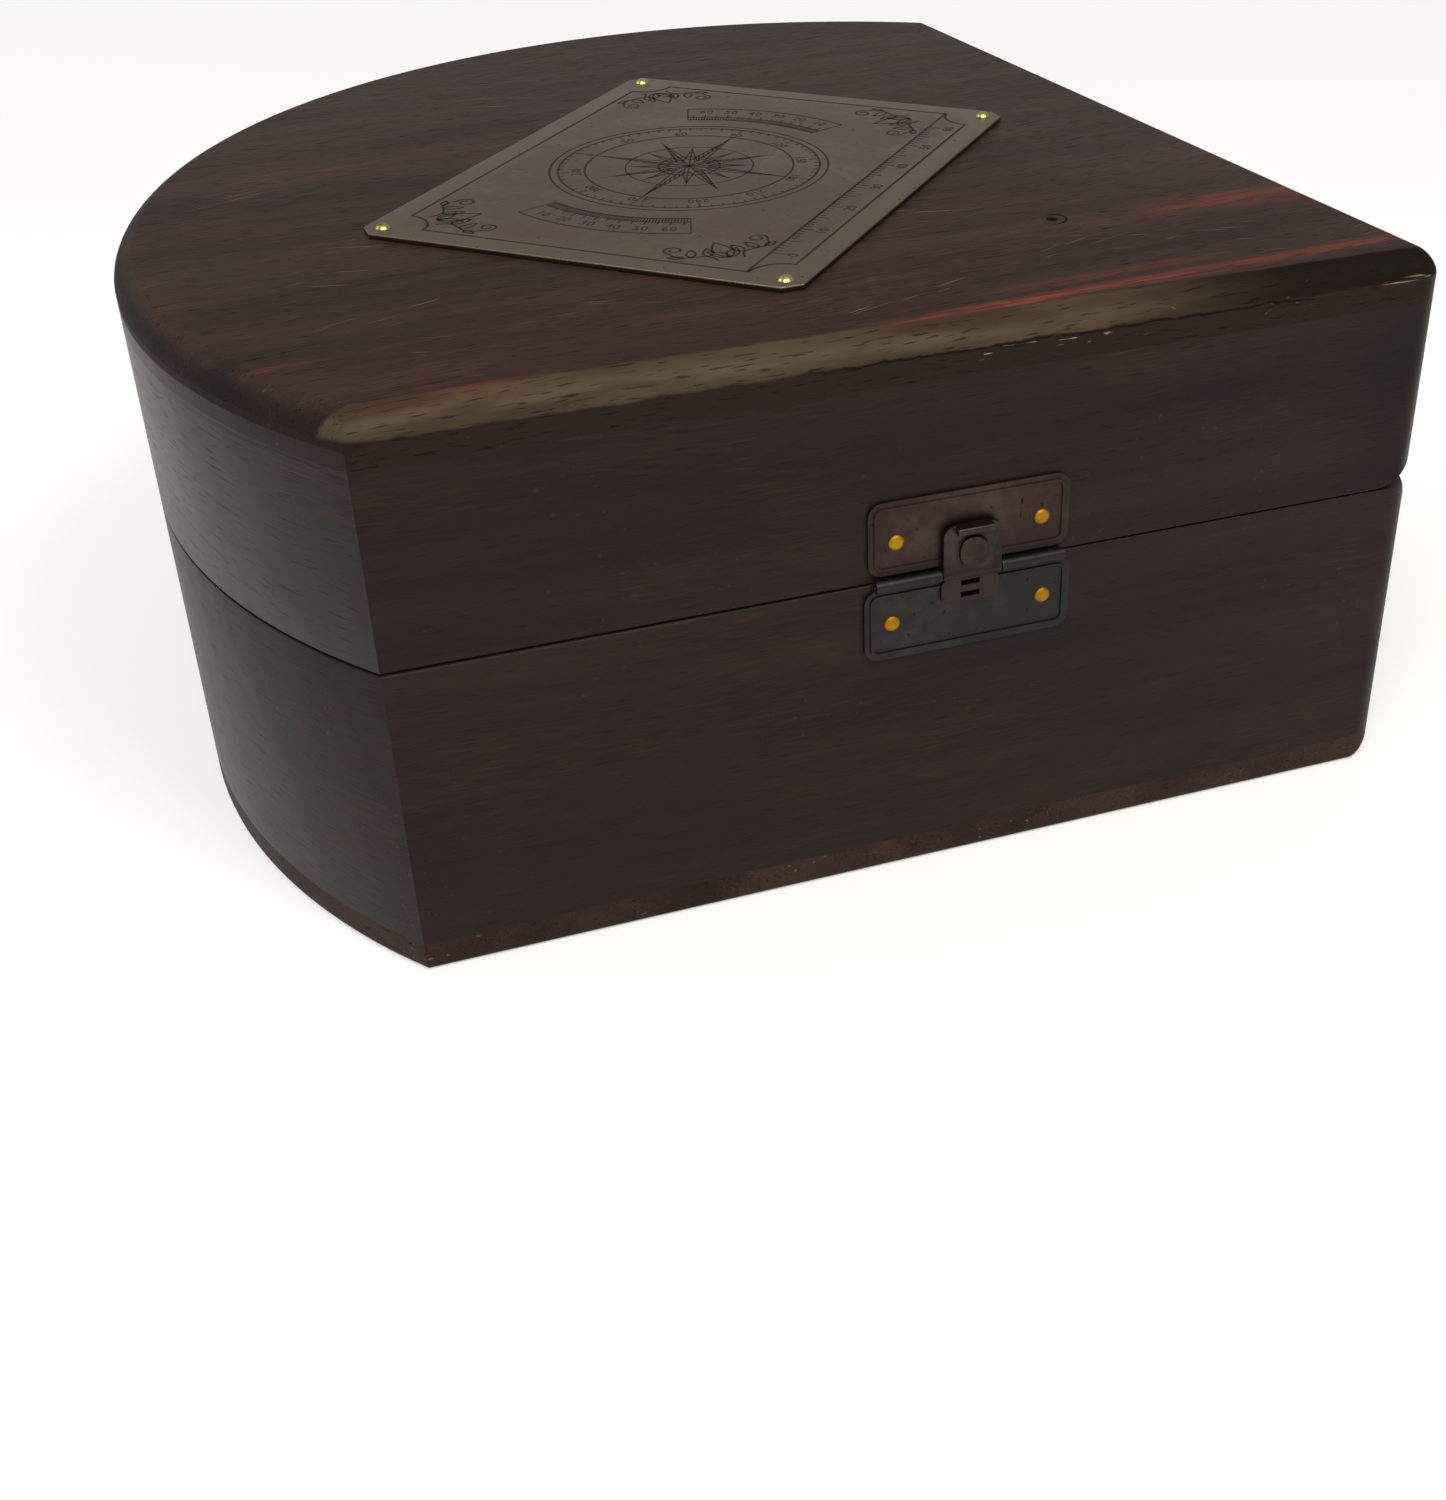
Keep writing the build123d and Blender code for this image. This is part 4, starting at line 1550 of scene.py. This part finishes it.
# ------------------------------------------------------------------------------------ linings
@dataclass
class Linings:
    """Felt on the floor, walls and rests, and the padded cloth under the top board."""

    plan: Plan
    soft_edge: float = 0.4 * MM
    glue_line: float = 0.1 * MM
    wall_cloth: float = 1.2 * MM
    pad_clearance: float = 0.3 * MM

    def build(self) -> List[bpy.types.Object]:
        """Returns:
            The linings.
        """
        felt = Felt("lining_felt").material()
        return [
            self.wall("base", True, felt),
            self.wall("lid", False, felt),
            self.flat("floor_lining", felt, "rosewood_bottom_board"),
            self.flat("rest_felts", felt, "limb_rests_timber"),
            self.ceiling(),
        ]

    def wall(self, body: str, rim_is_top: bool, felt: bpy.types.Material) -> bpy.types.Object:
        """Strip of felt round the inside of the walls of one half.

        Args:
            body: The half, which is also the body that it rides on.
            rim_is_top: Whether the rim is the upper edge.
            felt: The cloth's finish.

        Returns:
            The piece.
        """
        node = f"{body}_wall_lining"
        low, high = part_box(node)
        inset = self.plan.wall + self.glue_line
        bench = self.plan.ring(f"{node}_felt", low.z, high.z, inset, self.wall_cloth)
        piece = self.soften(bench, high.z if rim_is_top else low.z)
        finish_piece(piece, felt, body, "lining_felt", node)
        self.length(inset + self.wall_cloth / 2)
        return piece

    def flat(self, node: str, felt: bpy.types.Material, under: str) -> bpy.types.Object:
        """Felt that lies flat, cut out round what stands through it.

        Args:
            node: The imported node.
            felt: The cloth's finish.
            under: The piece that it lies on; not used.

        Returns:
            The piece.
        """
        bench = Bench.copy_of(node, f"{node}_cloth")
        low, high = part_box(node)
        piece = self.soften(bench, high.z)
        finish_piece(piece, felt, "base", "lining_felt", node)
        area = sum(face.area for face in piece.data.polygons if face.normal.z > 0.9)
        flat = (high.x - low.x, high.y - low.y)
        if area < 0.3 * flat[0] * flat[1]:
            flat = (math.sqrt(area), math.sqrt(area))
        return piece

    def soften(self, bench: Bench, level: float) -> bpy.types.Object:
        """Round the edges at a level.

        Args:
            bench: The piece on the bench.
            level: The height.

        Returns:
            The piece.
        """
        bench.pick_level(level)
        bpy.ops.mesh.bevel(offset=self.soft_edge, segments=3, affect="EDGES", clamp_overlap=True)
        return bench.done(50)

    def length(self, inset: float) -> float:
        """Length of the fan's outline moved in by inset.

        Args:
            inset: The distance, in metres.

        Returns:
            The length, in metres.
        """
        x, y = self.plan.inner_corner(inset)
        tip = self.plan.apex_x - inset / math.sin(self.plan.half_angle)
        half_arc = math.atan2(y, self.plan.arc_center - x)
        return 2 * math.hypot(tip - x, y) + 2 * half_arc * (self.plan.arc_radius - inset)

    def ceiling(self) -> bpy.types.Object:
        """Padded cloth under the top board, thickest just inside its rounded edge.

        Returns:
            The piece.
        """
        low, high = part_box("lid_ceiling_lining")
        inset = self.plan.wall + self.glue_line + self.wall_cloth + self.pad_clearance
        bench = self.plan.sheet("lid_ceiling_pad", high.z, inset)
        thickness = high.z - low.z
        steps = 6
        bench.all()
        bench.extrude((0, 0, -thickness * 0.4))
        for index in range(steps):
            start = math.radians(90 * index / steps)
            end = math.radians(90 * (index + 1) / steps)
            bpy.ops.mesh.inset(thickness=thickness * 0.9 * (math.cos(start) - math.cos(end)))
            bpy.ops.transform.translate(value=(0, 0, -thickness * 0.6 * (math.sin(end) - math.sin(start))))
        piece = bench.done(60)
        material = Felt("ceiling_velvet", deep=shade(70, 14, 19), worn=shade(96, 27, 32)).material()
        finish_piece(piece, material, "lid", "lining_felt", "lid_ceiling_lining")
        return piece


# ------------------------------------------------------------------------------------ metalwork
@dataclass
class Metalwork:
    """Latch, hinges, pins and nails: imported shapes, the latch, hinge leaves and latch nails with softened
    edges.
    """

    plan: Plan
    edge: float = 0.06 * MM
    latch_edge: float = 0.11 * MM
    filed: float = 0.12 * MM
    latch_brush: float = 42.0
    boss_reach: float = 3.75 * MM
    boss_drop: float = 4.1 * MM
    nail_grime: float = 0.28 * MM

    def build(self) -> List[bpy.types.Object]:
        """Dress every metal piece.

        Returns:
            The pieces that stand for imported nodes.
        """
        made = []
        for node, body, finish in self.latch_finishes():
            made.append(self.soften(node, body, "latch_brass", finish.material(), self.latch_edge))
        hinge = AgedBrass("hinge_brass", shade(150, 122, 70), shade(86, 66, 44), 0.5, 0.38, brush=-42.0)
        hinge_material = hinge.material()
        for place in ("apex", "rear"):
            for half in ("base", "lid"):
                node = f"{place}_hinge_{half}_leaf"
                made.append(self.soften(node, half, "hinge_brass", hinge_material, self.edge))
        dress_nodes(DullSteel().material(), "latch_pin", "apex_hinge_pin", "rear_hinge_pin")
        pale = AgedBrass("pale_nail_brass", shade(196, 184, 112), shade(158, 146, 84), 0.45, 0.3, relief=0.01)
        dress_nodes(pale.material(), "plaque_nails")
        # Painted shadow: the latch nails darken towards the plate that they are driven into.
        out = self.plan.outward(LATCH_SIDE)
        foot = (out, self.crown(frame["nodes"]["latch_upper_nails"], out) - self.nail_grime)
        gold = AgedBrass(
            "nail_brass", shade(170, 126, 30), shade(146, 102, 20), 0.4, 0.5, relief=0.05, foot=foot
        ).material()
        for node, body in (("latch_upper_nails", "lid"), ("latch_lower_nails", "base")):
            made.append(self.filed_nails(node, body, gold))
        dull = AgedBrass("dull_nail_brass", shade(186, 150, 78), shade(120, 92, 52), 0.5, 0.36, relief=0.02)
        dress_nodes(dull.material(), "base_hinge_nails", "lid_hinge_nails", "bottom_board_nails")
        return made

    def latch_finishes(self) -> Tuple[Tuple[str, str, AgedBrass], ...]:
        """Node, body and finish of the latch's two plates and of its hasp.

        Returns:
            The three pieces' rows.
        """
        low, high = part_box("hasp")
        middle = (low + high) / 2
        brush = self.latch_brush
        band = (turned(middle.x, middle.y, brush)[0], self.boss_reach)
        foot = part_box("base_latch_side_wall")[1].z - self.boss_drop
        upper = AgedBrass("latch_plate_bronze", shade(72, 58, 54), shade(56, 44, 43), 0.65, 0.42, brush)
        lower = AgedBrass(
            "latch_base_bronze",
            shade(64, 62, 57),
            shade(47, 47, 45),
            0.65,
            0.42,
            brush,
            band=band,
            band_foot=foot,
        )
        tongue = AgedBrass("hasp_bronze", shade(68, 57, 54), shade(49, 41, 40), 0.6, 0.4, brush)
        return (
            ("latch_upper_plate", "lid", upper),
            ("latch_lower_plate", "base", lower),
            ("hasp", "hasp", tongue),
        )

    @staticmethod
    def crown(piece: bpy.types.Object, outward: Vector) -> float:
        """How far a piece reaches in a direction."""
        return max(point.co.dot(outward) for point in piece.data.vertices)

    def filed_nails(self, node: str, body: str, material: bpy.types.Material) -> bpy.types.Object:
        """Copy packed nails with the tops of their heads filed flat.

        Args:
            node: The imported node.
            body: The body that it rides on.
            material: Its finish.

        Returns:
            The piece.
        """
        bench = Bench.copy_of(node, f"{node}_filed")
        outward = self.plan.outward(LATCH_SIDE)
        face = outward * (self.crown(bench.piece, outward) - self.filed)
        bench.cut(face, outward, fill=True)
        bench.pick(Part.EDGE, lambda *ends: all(abs((end - face).dot(outward)) < TOUCHING for end in ends))
        bench.bevel(self.edge, 2)
        piece = bench.done(35)
        return finish_piece(piece, material, body, "nail_brass", node)

    def soften(
        self, node: str, body: str, slot: str, material: bpy.types.Material, edge: float
    ) -> bpy.types.Object:
        """Copy a packed metal piece with its sharp edges broken.

        Args:
            node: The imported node.
            body: The body that it rides on.
            slot: The record's material slot.
            material: Its finish.
            edge: Width of the broken edges.

        Returns:
            The piece.
        """
        bench = Bench.copy_of(node, f"{node}_metal")
        bench.ease(edge, 40)
        piece = bench.done(35)
        return finish_piece(piece, material, body, slot, node)


# ------------------------------------------------------------------------------------ plaque
class Engraver:
    """Engraved lines and figures filled with wax, drawn on the plaque.

    Places are (a, b) in metres from the plaque's middle: a runs along +Y, b along -X.
    """

    def __init__(self, middle: Vector, level: float, depth: float = 0.03 * MM) -> None:
        """Start with nothing drawn.

        Args:
            middle: The plaque's middle.
            level: Height of its face.
            depth: Depth of the lines.
        """
        self.middle = middle
        self.level = level
        self.depth = depth
        self.drawn: Dict[float, List[Tuple[List[Spot], bool]]] = {}
        self.parts: List[bpy.types.Object] = []

    def line(self, points: Sequence[Spot], width: float, closed: bool = False) -> None:
        """Draw a line through points."""
        self.drawn.setdefault(width, []).append((list(points), closed))

    def arc(
        self, center: Spot, radius: float, low: float, high: float, width: float, steps: int = 24
    ) -> None:
        """Draw an arc, its angles in degrees from the a axis."""
        degrees = (low + (high - low) * index / steps for index in range(steps + 1))
        self.line([polar(center, radius, degree) for degree in degrees], width)

    def figure(self, words: str, spot: Spot, height: float, turn: float = 0.0) -> None:
        """Cut a number, its middle at a spot, turned by degrees.

        Args:
            words: The digits.
            spot: Their middle.
            height: Their height.
            turn: Their turn, in degrees.
        """
        Bench.clear()
        bpy.ops.object.text_add()
        made = bpy.context.object
        made.data.body = words
        made.data.size = height * 1.35
        made.data.align_x = "CENTER"
        made.data.align_y = "CENTER"
        made.data.resolution_u = 3
        bpy.ops.object.convert(target="MESH")
        made = bpy.context.object
        made.data.transform(Matrix.Translation((*spot, 0)) @ Matrix.Rotation(math.radians(turn), 4, "Z"))
        self.parts.append(made)

    def _ribbons(self, width: float, lines: Sequence[Tuple[List[Spot], bool]]) -> bpy.types.Object:
        """Flat ribbons of one width along lines.

        Args:
            width: Their width.
            lines: Points of each line, and whether it is closed.

        Returns:
            The ribbons as one mesh.
        """
        profile = bpy.data.curves.new("engraving_profile", "CURVE")
        spline = profile.splines.new("POLY")
        spline.points.add(1)
        spline.points[0].co = (-width / 2, 0, 0, 1)
        spline.points[1].co = (width / 2, 0, 0, 1)
        profile_object = bpy.data.objects.new("engraving_profile", profile)
        bpy.context.scene.collection.objects.link(profile_object)
        curve = bpy.data.curves.new("engraving_lines", "CURVE")
        curve.dimensions = "2D"
        curve.fill_mode = "NONE"
        for points, closed in lines:
            spline = curve.splines.new("POLY")
            spline.points.add(len(points) - 1)
            for place, (a, b) in zip(spline.points, points):
                place.co = (a, b, 0, 1)
            spline.use_cyclic_u = closed
        curve.bevel_mode = "OBJECT"
        curve.bevel_object = profile_object
        made = bpy.data.objects.new("engraving_lines", curve)
        bpy.context.scene.collection.objects.link(made)
        Bench.choose(made)
        bpy.ops.object.convert(target="MESH")
        made = bpy.context.object
        bpy.data.objects.remove(profile_object)
        return made

    def finish(self, name: str) -> bpy.types.Object:
        """Join all that is drawn into one piece, set in the plaque's face.

        Args:
            name: The piece's name.

        Returns:
            The piece.
        """
        for width, lines in self.drawn.items():
            self.parts.append(self._ribbons(width, lines))
        Bench.clear()
        for part in self.parts:
            part.select_set(True)
        bpy.context.view_layer.objects.active = self.parts[0]
        bpy.ops.object.join()
        piece = bpy.context.object
        piece.name = name
        piece.data.name = name
        bench = Bench(piece)
        rows = ((0, -1, 0, self.middle.x), (1, 0, 0, self.middle.y), (0, 0, 1, self.level), (0, 0, 0, 1))
        piece.data.transform(Matrix(rows))
        bench.modifier("SOLIDIFY", thickness=self.depth, offset=0.0)
        bench.all()
        bpy.ops.object.mode_set(mode="OBJECT")
        return piece


@dataclass(frozen=True)
class PanelCorner:
    """Corner of the plaque's panel; distances from it count inwards along and away from one of its sides."""

    a: float
    b: float
    turned: bool = False

    def swapped(self) -> "PanelCorner":
        """The same corner, counted along its other side."""
        return PanelCorner(self.a, self.b, not self.turned)

    def spot(self, along: float, away: float) -> Spot:
        """Place on the plaque."""
        across, up = (away, along) if self.turned else (along, away)
        return self.a - math.copysign(across, self.a), self.b - math.copysign(up, self.b)


@dataclass
class Plaque:
    """Brass plaque on the lid with a compass card, scales and corner scrolls of a generic kind."""

    corner_cut: float = 2.0 * MM
    edge: float = 0.15 * MM
    border_inset: float = 3.4 * MM
    notch: float = 4.2 * MM
    strip_width: float = 4.4 * MM
    strip_end: float = 7.0 * MM
    strip_marks: int = 60
    card_radius: float = 18.5 * MM
    bold: float = 0.36 * MM
    fine: float = 0.28 * MM
    hair: float = 0.19 * MM

    def build(self) -> List[bpy.types.Object]:
        """Make the plate and its engraving."""
        low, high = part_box("lid_plaque")
        return [self.plate(low, high), self.engraving(low, high)]

    def plate(self, low: Vector, high: Vector) -> bpy.types.Object:
        """Sheet with clipped corners and a softly broken edge.

        Args:
            low: The box's lower corner.
            high: The box's upper corner.

        Returns:
            The piece.
        """
        middle = (low + high) / 2
        size = high - low
        Bench.clear()
        bpy.ops.mesh.primitive_cube_add(size=1, location=middle)
        bpy.context.object.scale = size
        bench = Bench.newest("brass_plaque")
        bench.pick(Part.EDGE, lambda a, b: (a - b).xy.length < TOUCHING)
        bench.bevel(self.corner_cut, 1)
        bench.pick_level(high.z)
        bench.bevel(self.edge, 3)
        piece = bench.done(30)
        panel = ((middle.x, middle.y), (size.x / 2 - self.border_inset, size.y / 2 - self.border_inset))
        # The plate's edge faces are darkened below its face: partly dirt, partly painted shade where they
        # would catch the light.
        finish = AgedBrass(
            "plaque_brass", shade(134, 118, 99), shade(118, 101, 91), 0.62, 0.42, 90.0, panel=panel,
            foot=(Vector((0, 0, 1)), high.z - 0.12 * MM),
        )
        return finish_piece(piece, finish.material(), "lid", "plaque_brass", "lid_plaque")

    def engraving(self, low: Vector, high: Vector) -> bpy.types.Object:
        """Everything that is cut in the plate's face.

        Args:
            low: The box's lower corner.
            high: The box's upper corner.

        Returns:
            The piece.
        """
        reach_a = (high.y - low.y) / 2 - self.border_inset
        reach_b = (high.x - low.x) / 2 - self.border_inset
        middle = (0.0, self.strip_width / 2)
        engraver = Engraver((low + high) / 2, high.z)
        self.border(engraver, reach_a, reach_b)
        self.strip(engraver, reach_a, reach_b)
        self.card(engraver, middle, self.card_radius)
        for turn in (0, 180):
            self.side_scale(engraver, middle, turn)
        for side_a in (-1, 1):
            for b in (self.strip_width - reach_b, reach_b):
                self.spray(engraver, PanelCorner(side_a * reach_a, b))
        piece = engraver.finish("plaque_engraving")
        return finish_piece(piece, BlackWax().material(), "lid", "plaque_brass")

    def border(self, engraver: Engraver, a: float, b: float) -> None:
        """Frame line with a hollow cut round each nail.

        Args:
            engraver: What draws the lines.
            a: Half length of the frame.
            b: Half width of the frame.
        """
        points: List[Spot] = []
        for side_a, side_b, start in ((1, 1, 270), (-1, 1, 0), (-1, -1, 90), (1, -1, 180)):
            for index in range(9):
                points.append(polar((side_a * a, side_b * b), self.notch, start - 90 * index / 8))
        engraver.line(points, self.bold, closed=True)

    def strip(self, engraver: Engraver, a: float, b: float) -> None:
        """Ruled scale between two lines along the lower edge.

        Args:
            engraver: What draws the lines.
            a: Half length of the frame.
            b: Half width of the frame.
        """
        top = self.strip_width - b
        engraver.line([(-a, top), (a, top)], self.bold)
        span = 2 * (a - self.strip_end)
        for index in range(self.strip_marks + 1):
            place = -span / 2 + span * index / self.strip_marks
            length = (1.7 if index % 5 == 0 else 1.0) * MM
            engraver.line([(place, top), (place, top - length)], self.hair)
            if index % 10 == 0:
                engraver.figure(str(index), (place, top - 2.9 * MM), 1.5 * MM)

    def card(self, engraver: Engraver, center: Spot, radius: float) -> None:
        """Compass card: ring of degrees with numbers and a hatched star of sixteen points.

        Args:
            engraver: What draws the lines.
            center: Its middle.
            radius: Its radius.
        """
        for share in (1.0, 0.94, 0.75):
            engraver.arc(center, radius * share, 0, 360, self.fine, steps=96)
        for degree in range(0, 360, 5):
            outer = radius * 0.94
            inner = radius * (0.86 if degree % 30 == 0 else 0.90)
            engraver.line([polar(center, inner, degree), polar(center, outer, degree)], self.hair)
        for degree in range(0, 360, 30):
            engraver.figure(str(degree), polar(center, radius * 0.805, 90 - degree), 1.4 * MM, -degree)
        for index in range(16):
            degree = index * 22.5
            reach = radius * (0.70 if index % 4 == 0 else 0.56 if index % 2 == 0 else 0.40)
            tip = polar(center, reach, degree)
            waist = polar(center, radius * 0.13, degree + 22.5)
            engraver.line([tip, polar(center, radius * 0.13, degree - 22.5)], self.hair)
            engraver.line([waist, tip, center], self.hair)
            if index % 2 == 0:
                self._hatch(engraver, (center, tip), (waist, tip))
        for share in (0.22, 0.46):
            engraver.arc(center, radius * share, 0, 360, self.hair, steps=64)

    def _hatch(self, engraver: Engraver, first: Tuple[Spot, Spot], second: Tuple[Spot, Spot]) -> None:
        """Fine lines between two edges that meet at a tip.

        Args:
            engraver: What draws the lines.
            first: Foot and tip of one edge.
            second: Foot and tip of the other.
        """
        for index in range(1, 9):
            share = index / 9
            rung = [(a[0] + (b[0] - a[0]) * share, a[1] + (b[1] - a[1]) * share) for a, b in (first, second)]
            engraver.line(rung, self.hair)

    def side_scale(self, engraver: Engraver, center: Spot, turn: float) -> None:
        """Curved scale with numbers beside the card, turned round the card's middle.

        Args:
            engraver: What draws the lines.
            center: The card's middle.
            turn: Direction of the scale's middle, in degrees.
        """
        spread = 26
        radius = self.card_radius + 3.2 * MM
        depth = 5.6 * MM
        for share, width in ((0.0, self.fine), (0.25, self.hair), (1.0, self.fine)):
            engraver.arc(center, radius + depth * share, turn - spread, turn + spread, width)
        for index in range(2 * spread + 1):
            degree = turn - spread + index
            length = depth * (1.0 if index % (2 * spread) == 0 else 0.42 if index % 4 == 2 else 0.25)
            start = polar(center, radius, degree)
            engraver.line([start, polar(center, radius + length, degree)], self.hair)
            if index % 8 == 6:
                spot = polar(center, radius + depth * 0.7, degree)
                engraver.figure(str(10 * (index // 8 + 1)), spot, 1.5 * MM, degree - 90 - turn)

    def spray(self, engraver: Engraver, corner: PanelCorner) -> None:
        """Corner ornament: a stem with leaves along each side, and three leaves between them.

        Args:
            engraver: What draws the lines.
            corner: Corner of the panel.
        """
        for way in (corner, corner.swapped()):
            stem = []
            for index in range(25):
                share = index / 24
                wave = 0.8 * MM * math.sin(2 * math.pi * share)
                stem.append(way.spot(4.6 * MM + 6.6 * MM * share, 2.3 * MM + wave))
            for index in range(25):
                radius = (1.3 - 0.9 * index / 24) * MM
                stem.append(way.spot(*polar((11.2 * MM, 3.6 * MM), radius, 468 * index / 24 - 90)))
            engraver.line(stem, self.fine)
            leaves = ((6.3, 3.2, 58, 2.8), (8.2, 2.1, 66, 2.6), (9.0, 1.6, -18, 1.9))
            for run, aside, degree, length in leaves:
                self._leaf(engraver, way, (run * MM, aside * MM), degree, length * MM)
        for degree, length in ((45, 5.6 * MM), (12, 3.4 * MM), (78, 3.4 * MM)):
            self._leaf(engraver, corner, (3.9 * MM, 3.9 * MM), degree, length)

    def _leaf(
        self, engraver: Engraver, corner: PanelCorner, foot: Spot, degree: float, length: float
    ) -> None:
        """Pointed leaf, its foot and direction counted from a corner.

        Args:
            engraver: What draws the lines.
            corner: The corner.
            foot: Its foot.
            degree: Its direction.
            length: Its length.
        """
        angle = math.radians(degree)
        for bow in (-0.22, 0.22):
            edge = []
            for index in range(9):
                share = index / 8
                run = length * share
                off = length * bow * math.sin(math.pi * share**0.8)
                u = foot[0] + run * math.cos(angle) - off * math.sin(angle)
                v = foot[1] + run * math.sin(angle) + off * math.cos(angle)
                edge.append(corner.spot(u, v))
            engraver.line(edge, self.fine)


# ------------------------------------------------------------------------------------ studio
@dataclass(frozen=True)
class Lamp:
    """Soft rectangular lamp that looks at the case."""

    name: str
    place: Point
    size: float
    power: float
    tint: Colour = (1.0, 1.0, 1.0, 1.0)


@dataclass
class Studio:
    """Pale floor, soft light and the camera."""

    floor_size: float = 6.0
    lens: float = 47.9
    sensor: float = 36.0
    shift: Spot = (-0.0811, 0.0087)
    camera_place: Point = (0.10575, -0.24059, 0.15167)
    azimuth: float = -22.26
    elevation: float = 33.44
    roll: float = -0.84
    lamps: Tuple[Lamp, ...] = (
        Lamp("window", (0.35, -1.2, 1.7), 1.0, 30.0, (1.0, 0.975, 0.94, 1.0)),
        Lamp("left_panel", (-1.6, -0.3, 0.8), 0.9, 7.0, (0.93, 0.97, 1.0, 1.0)),
        Lamp("warm_panel", (0.50, -0.24, 0.75), 0.25, 3.0, (1.0, 0.92, 0.76, 1.0)),
    )
    sky: float = 0.38
    backdrop: float = 0.35
    floor_shown: float = 0.3

    def build(self) -> None:
        """Set the stage."""
        self.floor()
        for lamp in self.lamps:
            self.lamp(lamp)
        self.world()
        self.camera()
        bpy.context.scene.view_settings.view_transform = "Standard"

    def floor(self) -> None:
        """Pale floor under the case."""
        Bench.clear()
        bpy.ops.mesh.primitive_plane_add(size=self.floor_size)
        floor = bpy.context.object
        floor.name = "studio_floor"
        shader = Shader("pale_floor")
        x, y, z = shader.place()
        tone = shader.noise(shader.vector(x / 0.4, y / 0.4, z), 2.0)
        colour = shader.mix(tone, shade(246, 246, 246), shade(250, 250, 250))
        seen = Value(shader, shader.node("ShaderNodeLightPath", {}, {}).outputs["Is Camera Ray"])
        away = shader.distance(x, y).steps(self.floor_shown, self.floor_shown * 3)
        lit = seen * (away * (1 - self.backdrop) + self.backdrop)
        glow = shader.node("ShaderNodeEmission", {}, {"Color": (1.0, 1.0, 1.0, 1.0), "Strength": 1.0})
        paint = shader.node("ShaderNodeBsdfPrincipled", {}, {"Base Color": colour, "Roughness": 0.9})
        both = shader.node("ShaderNodeMixShader", {}, {0: lit, 1: paint.outputs[0], 2: glow.outputs[0]})
        shader.node("ShaderNodeOutputMaterial", {}, {0: both.outputs[0]})
        floor.data.materials.append(shader.material)

    @staticmethod
    def lamp(lamp: Lamp) -> None:
        """Hang one lamp.

        Args:
            lamp: The lamp.
        """
        light = bpy.data.lights.new(lamp.name, "AREA")
        light.size = lamp.size
        light.energy = lamp.power
        light.color = lamp.tint[:3]
        made = bpy.data.objects.new(lamp.name, light)
        bpy.context.scene.collection.objects.link(made)
        made.location = lamp.place
        made.rotation_euler = (-Vector(lamp.place)).to_track_quat("-Z", "Y").to_euler()

    def world(self) -> None:
        """Even pale sky."""
        world = bpy.data.worlds.new("studio_sky")
        bpy.context.scene.world = world
        world.use_nodes = True
        tree = world.node_tree
        tree.nodes.clear()
        path = tree.nodes.new("ShaderNodeLightPath")
        dim = tree.nodes.new("ShaderNodeBackground")
        dim.inputs[1].default_value = self.sky
        bright = tree.nodes.new("ShaderNodeBackground")
        chosen = tree.nodes.new("ShaderNodeMixShader")
        output = tree.nodes.new("ShaderNodeOutputWorld")
        for background in (dim, bright):
            background.inputs[0].default_value = (1.0, 1.0, 1.0, 1.0)
        tree.links.new(path.outputs["Is Camera Ray"], chosen.inputs[0])
        tree.links.new(dim.outputs[0], chosen.inputs[1])
        tree.links.new(bright.outputs[0], chosen.inputs[2])
        tree.links.new(chosen.outputs[0], output.inputs[0])

    def camera(self) -> None:
        """Camera at the viewing angle."""
        data = bpy.data.cameras.new("camera")
        data.sensor_fit = "AUTO"
        data.sensor_width = self.sensor
        data.lens = self.lens
        data.shift_x, data.shift_y = self.shift
        data.clip_start = 0.01
        data.clip_end = 50.0
        azimuth = math.radians(self.azimuth)
        elevation = math.radians(self.elevation)
        roll = math.radians(self.roll)
        level = math.cos(elevation)
        forward = Vector((math.sin(azimuth) * level, math.cos(azimuth) * level, -math.sin(elevation)))
        right = Vector((math.cos(azimuth), -math.sin(azimuth), 0))
        up = right.cross(forward)
        turned_right = right * math.cos(roll) + up * math.sin(roll)
        turned_up = up * math.cos(roll) - right * math.sin(roll)
        matrix = Matrix((turned_right, turned_up, -forward)).transposed().to_4x4()
        matrix.translation = Vector(self.camera_place)
        made = bpy.data.objects.new("camera", data)
        made.matrix_world = matrix
        bpy.context.scene.collection.objects.link(made)
        bpy.context.scene.camera = made


def main() -> None:
    """Build every sub-assembly in order and set the stage."""
    logging.basicConfig(level=logging.INFO, format="%(message)s")
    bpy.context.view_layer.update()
    plan = Plan()
    wood = (CaseBoards(plan), CaseWalls(plan), InstrumentRests())
    for builder in (*wood, Linings(plan), Metalwork(plan), Plaque()):
        for piece in builder.build():
            LOG.info("%s: %s, %d faces", type(builder).__name__, piece.name, len(piece.data.polygons))
    Studio().build()


if __name__ == "__main__":
    main()
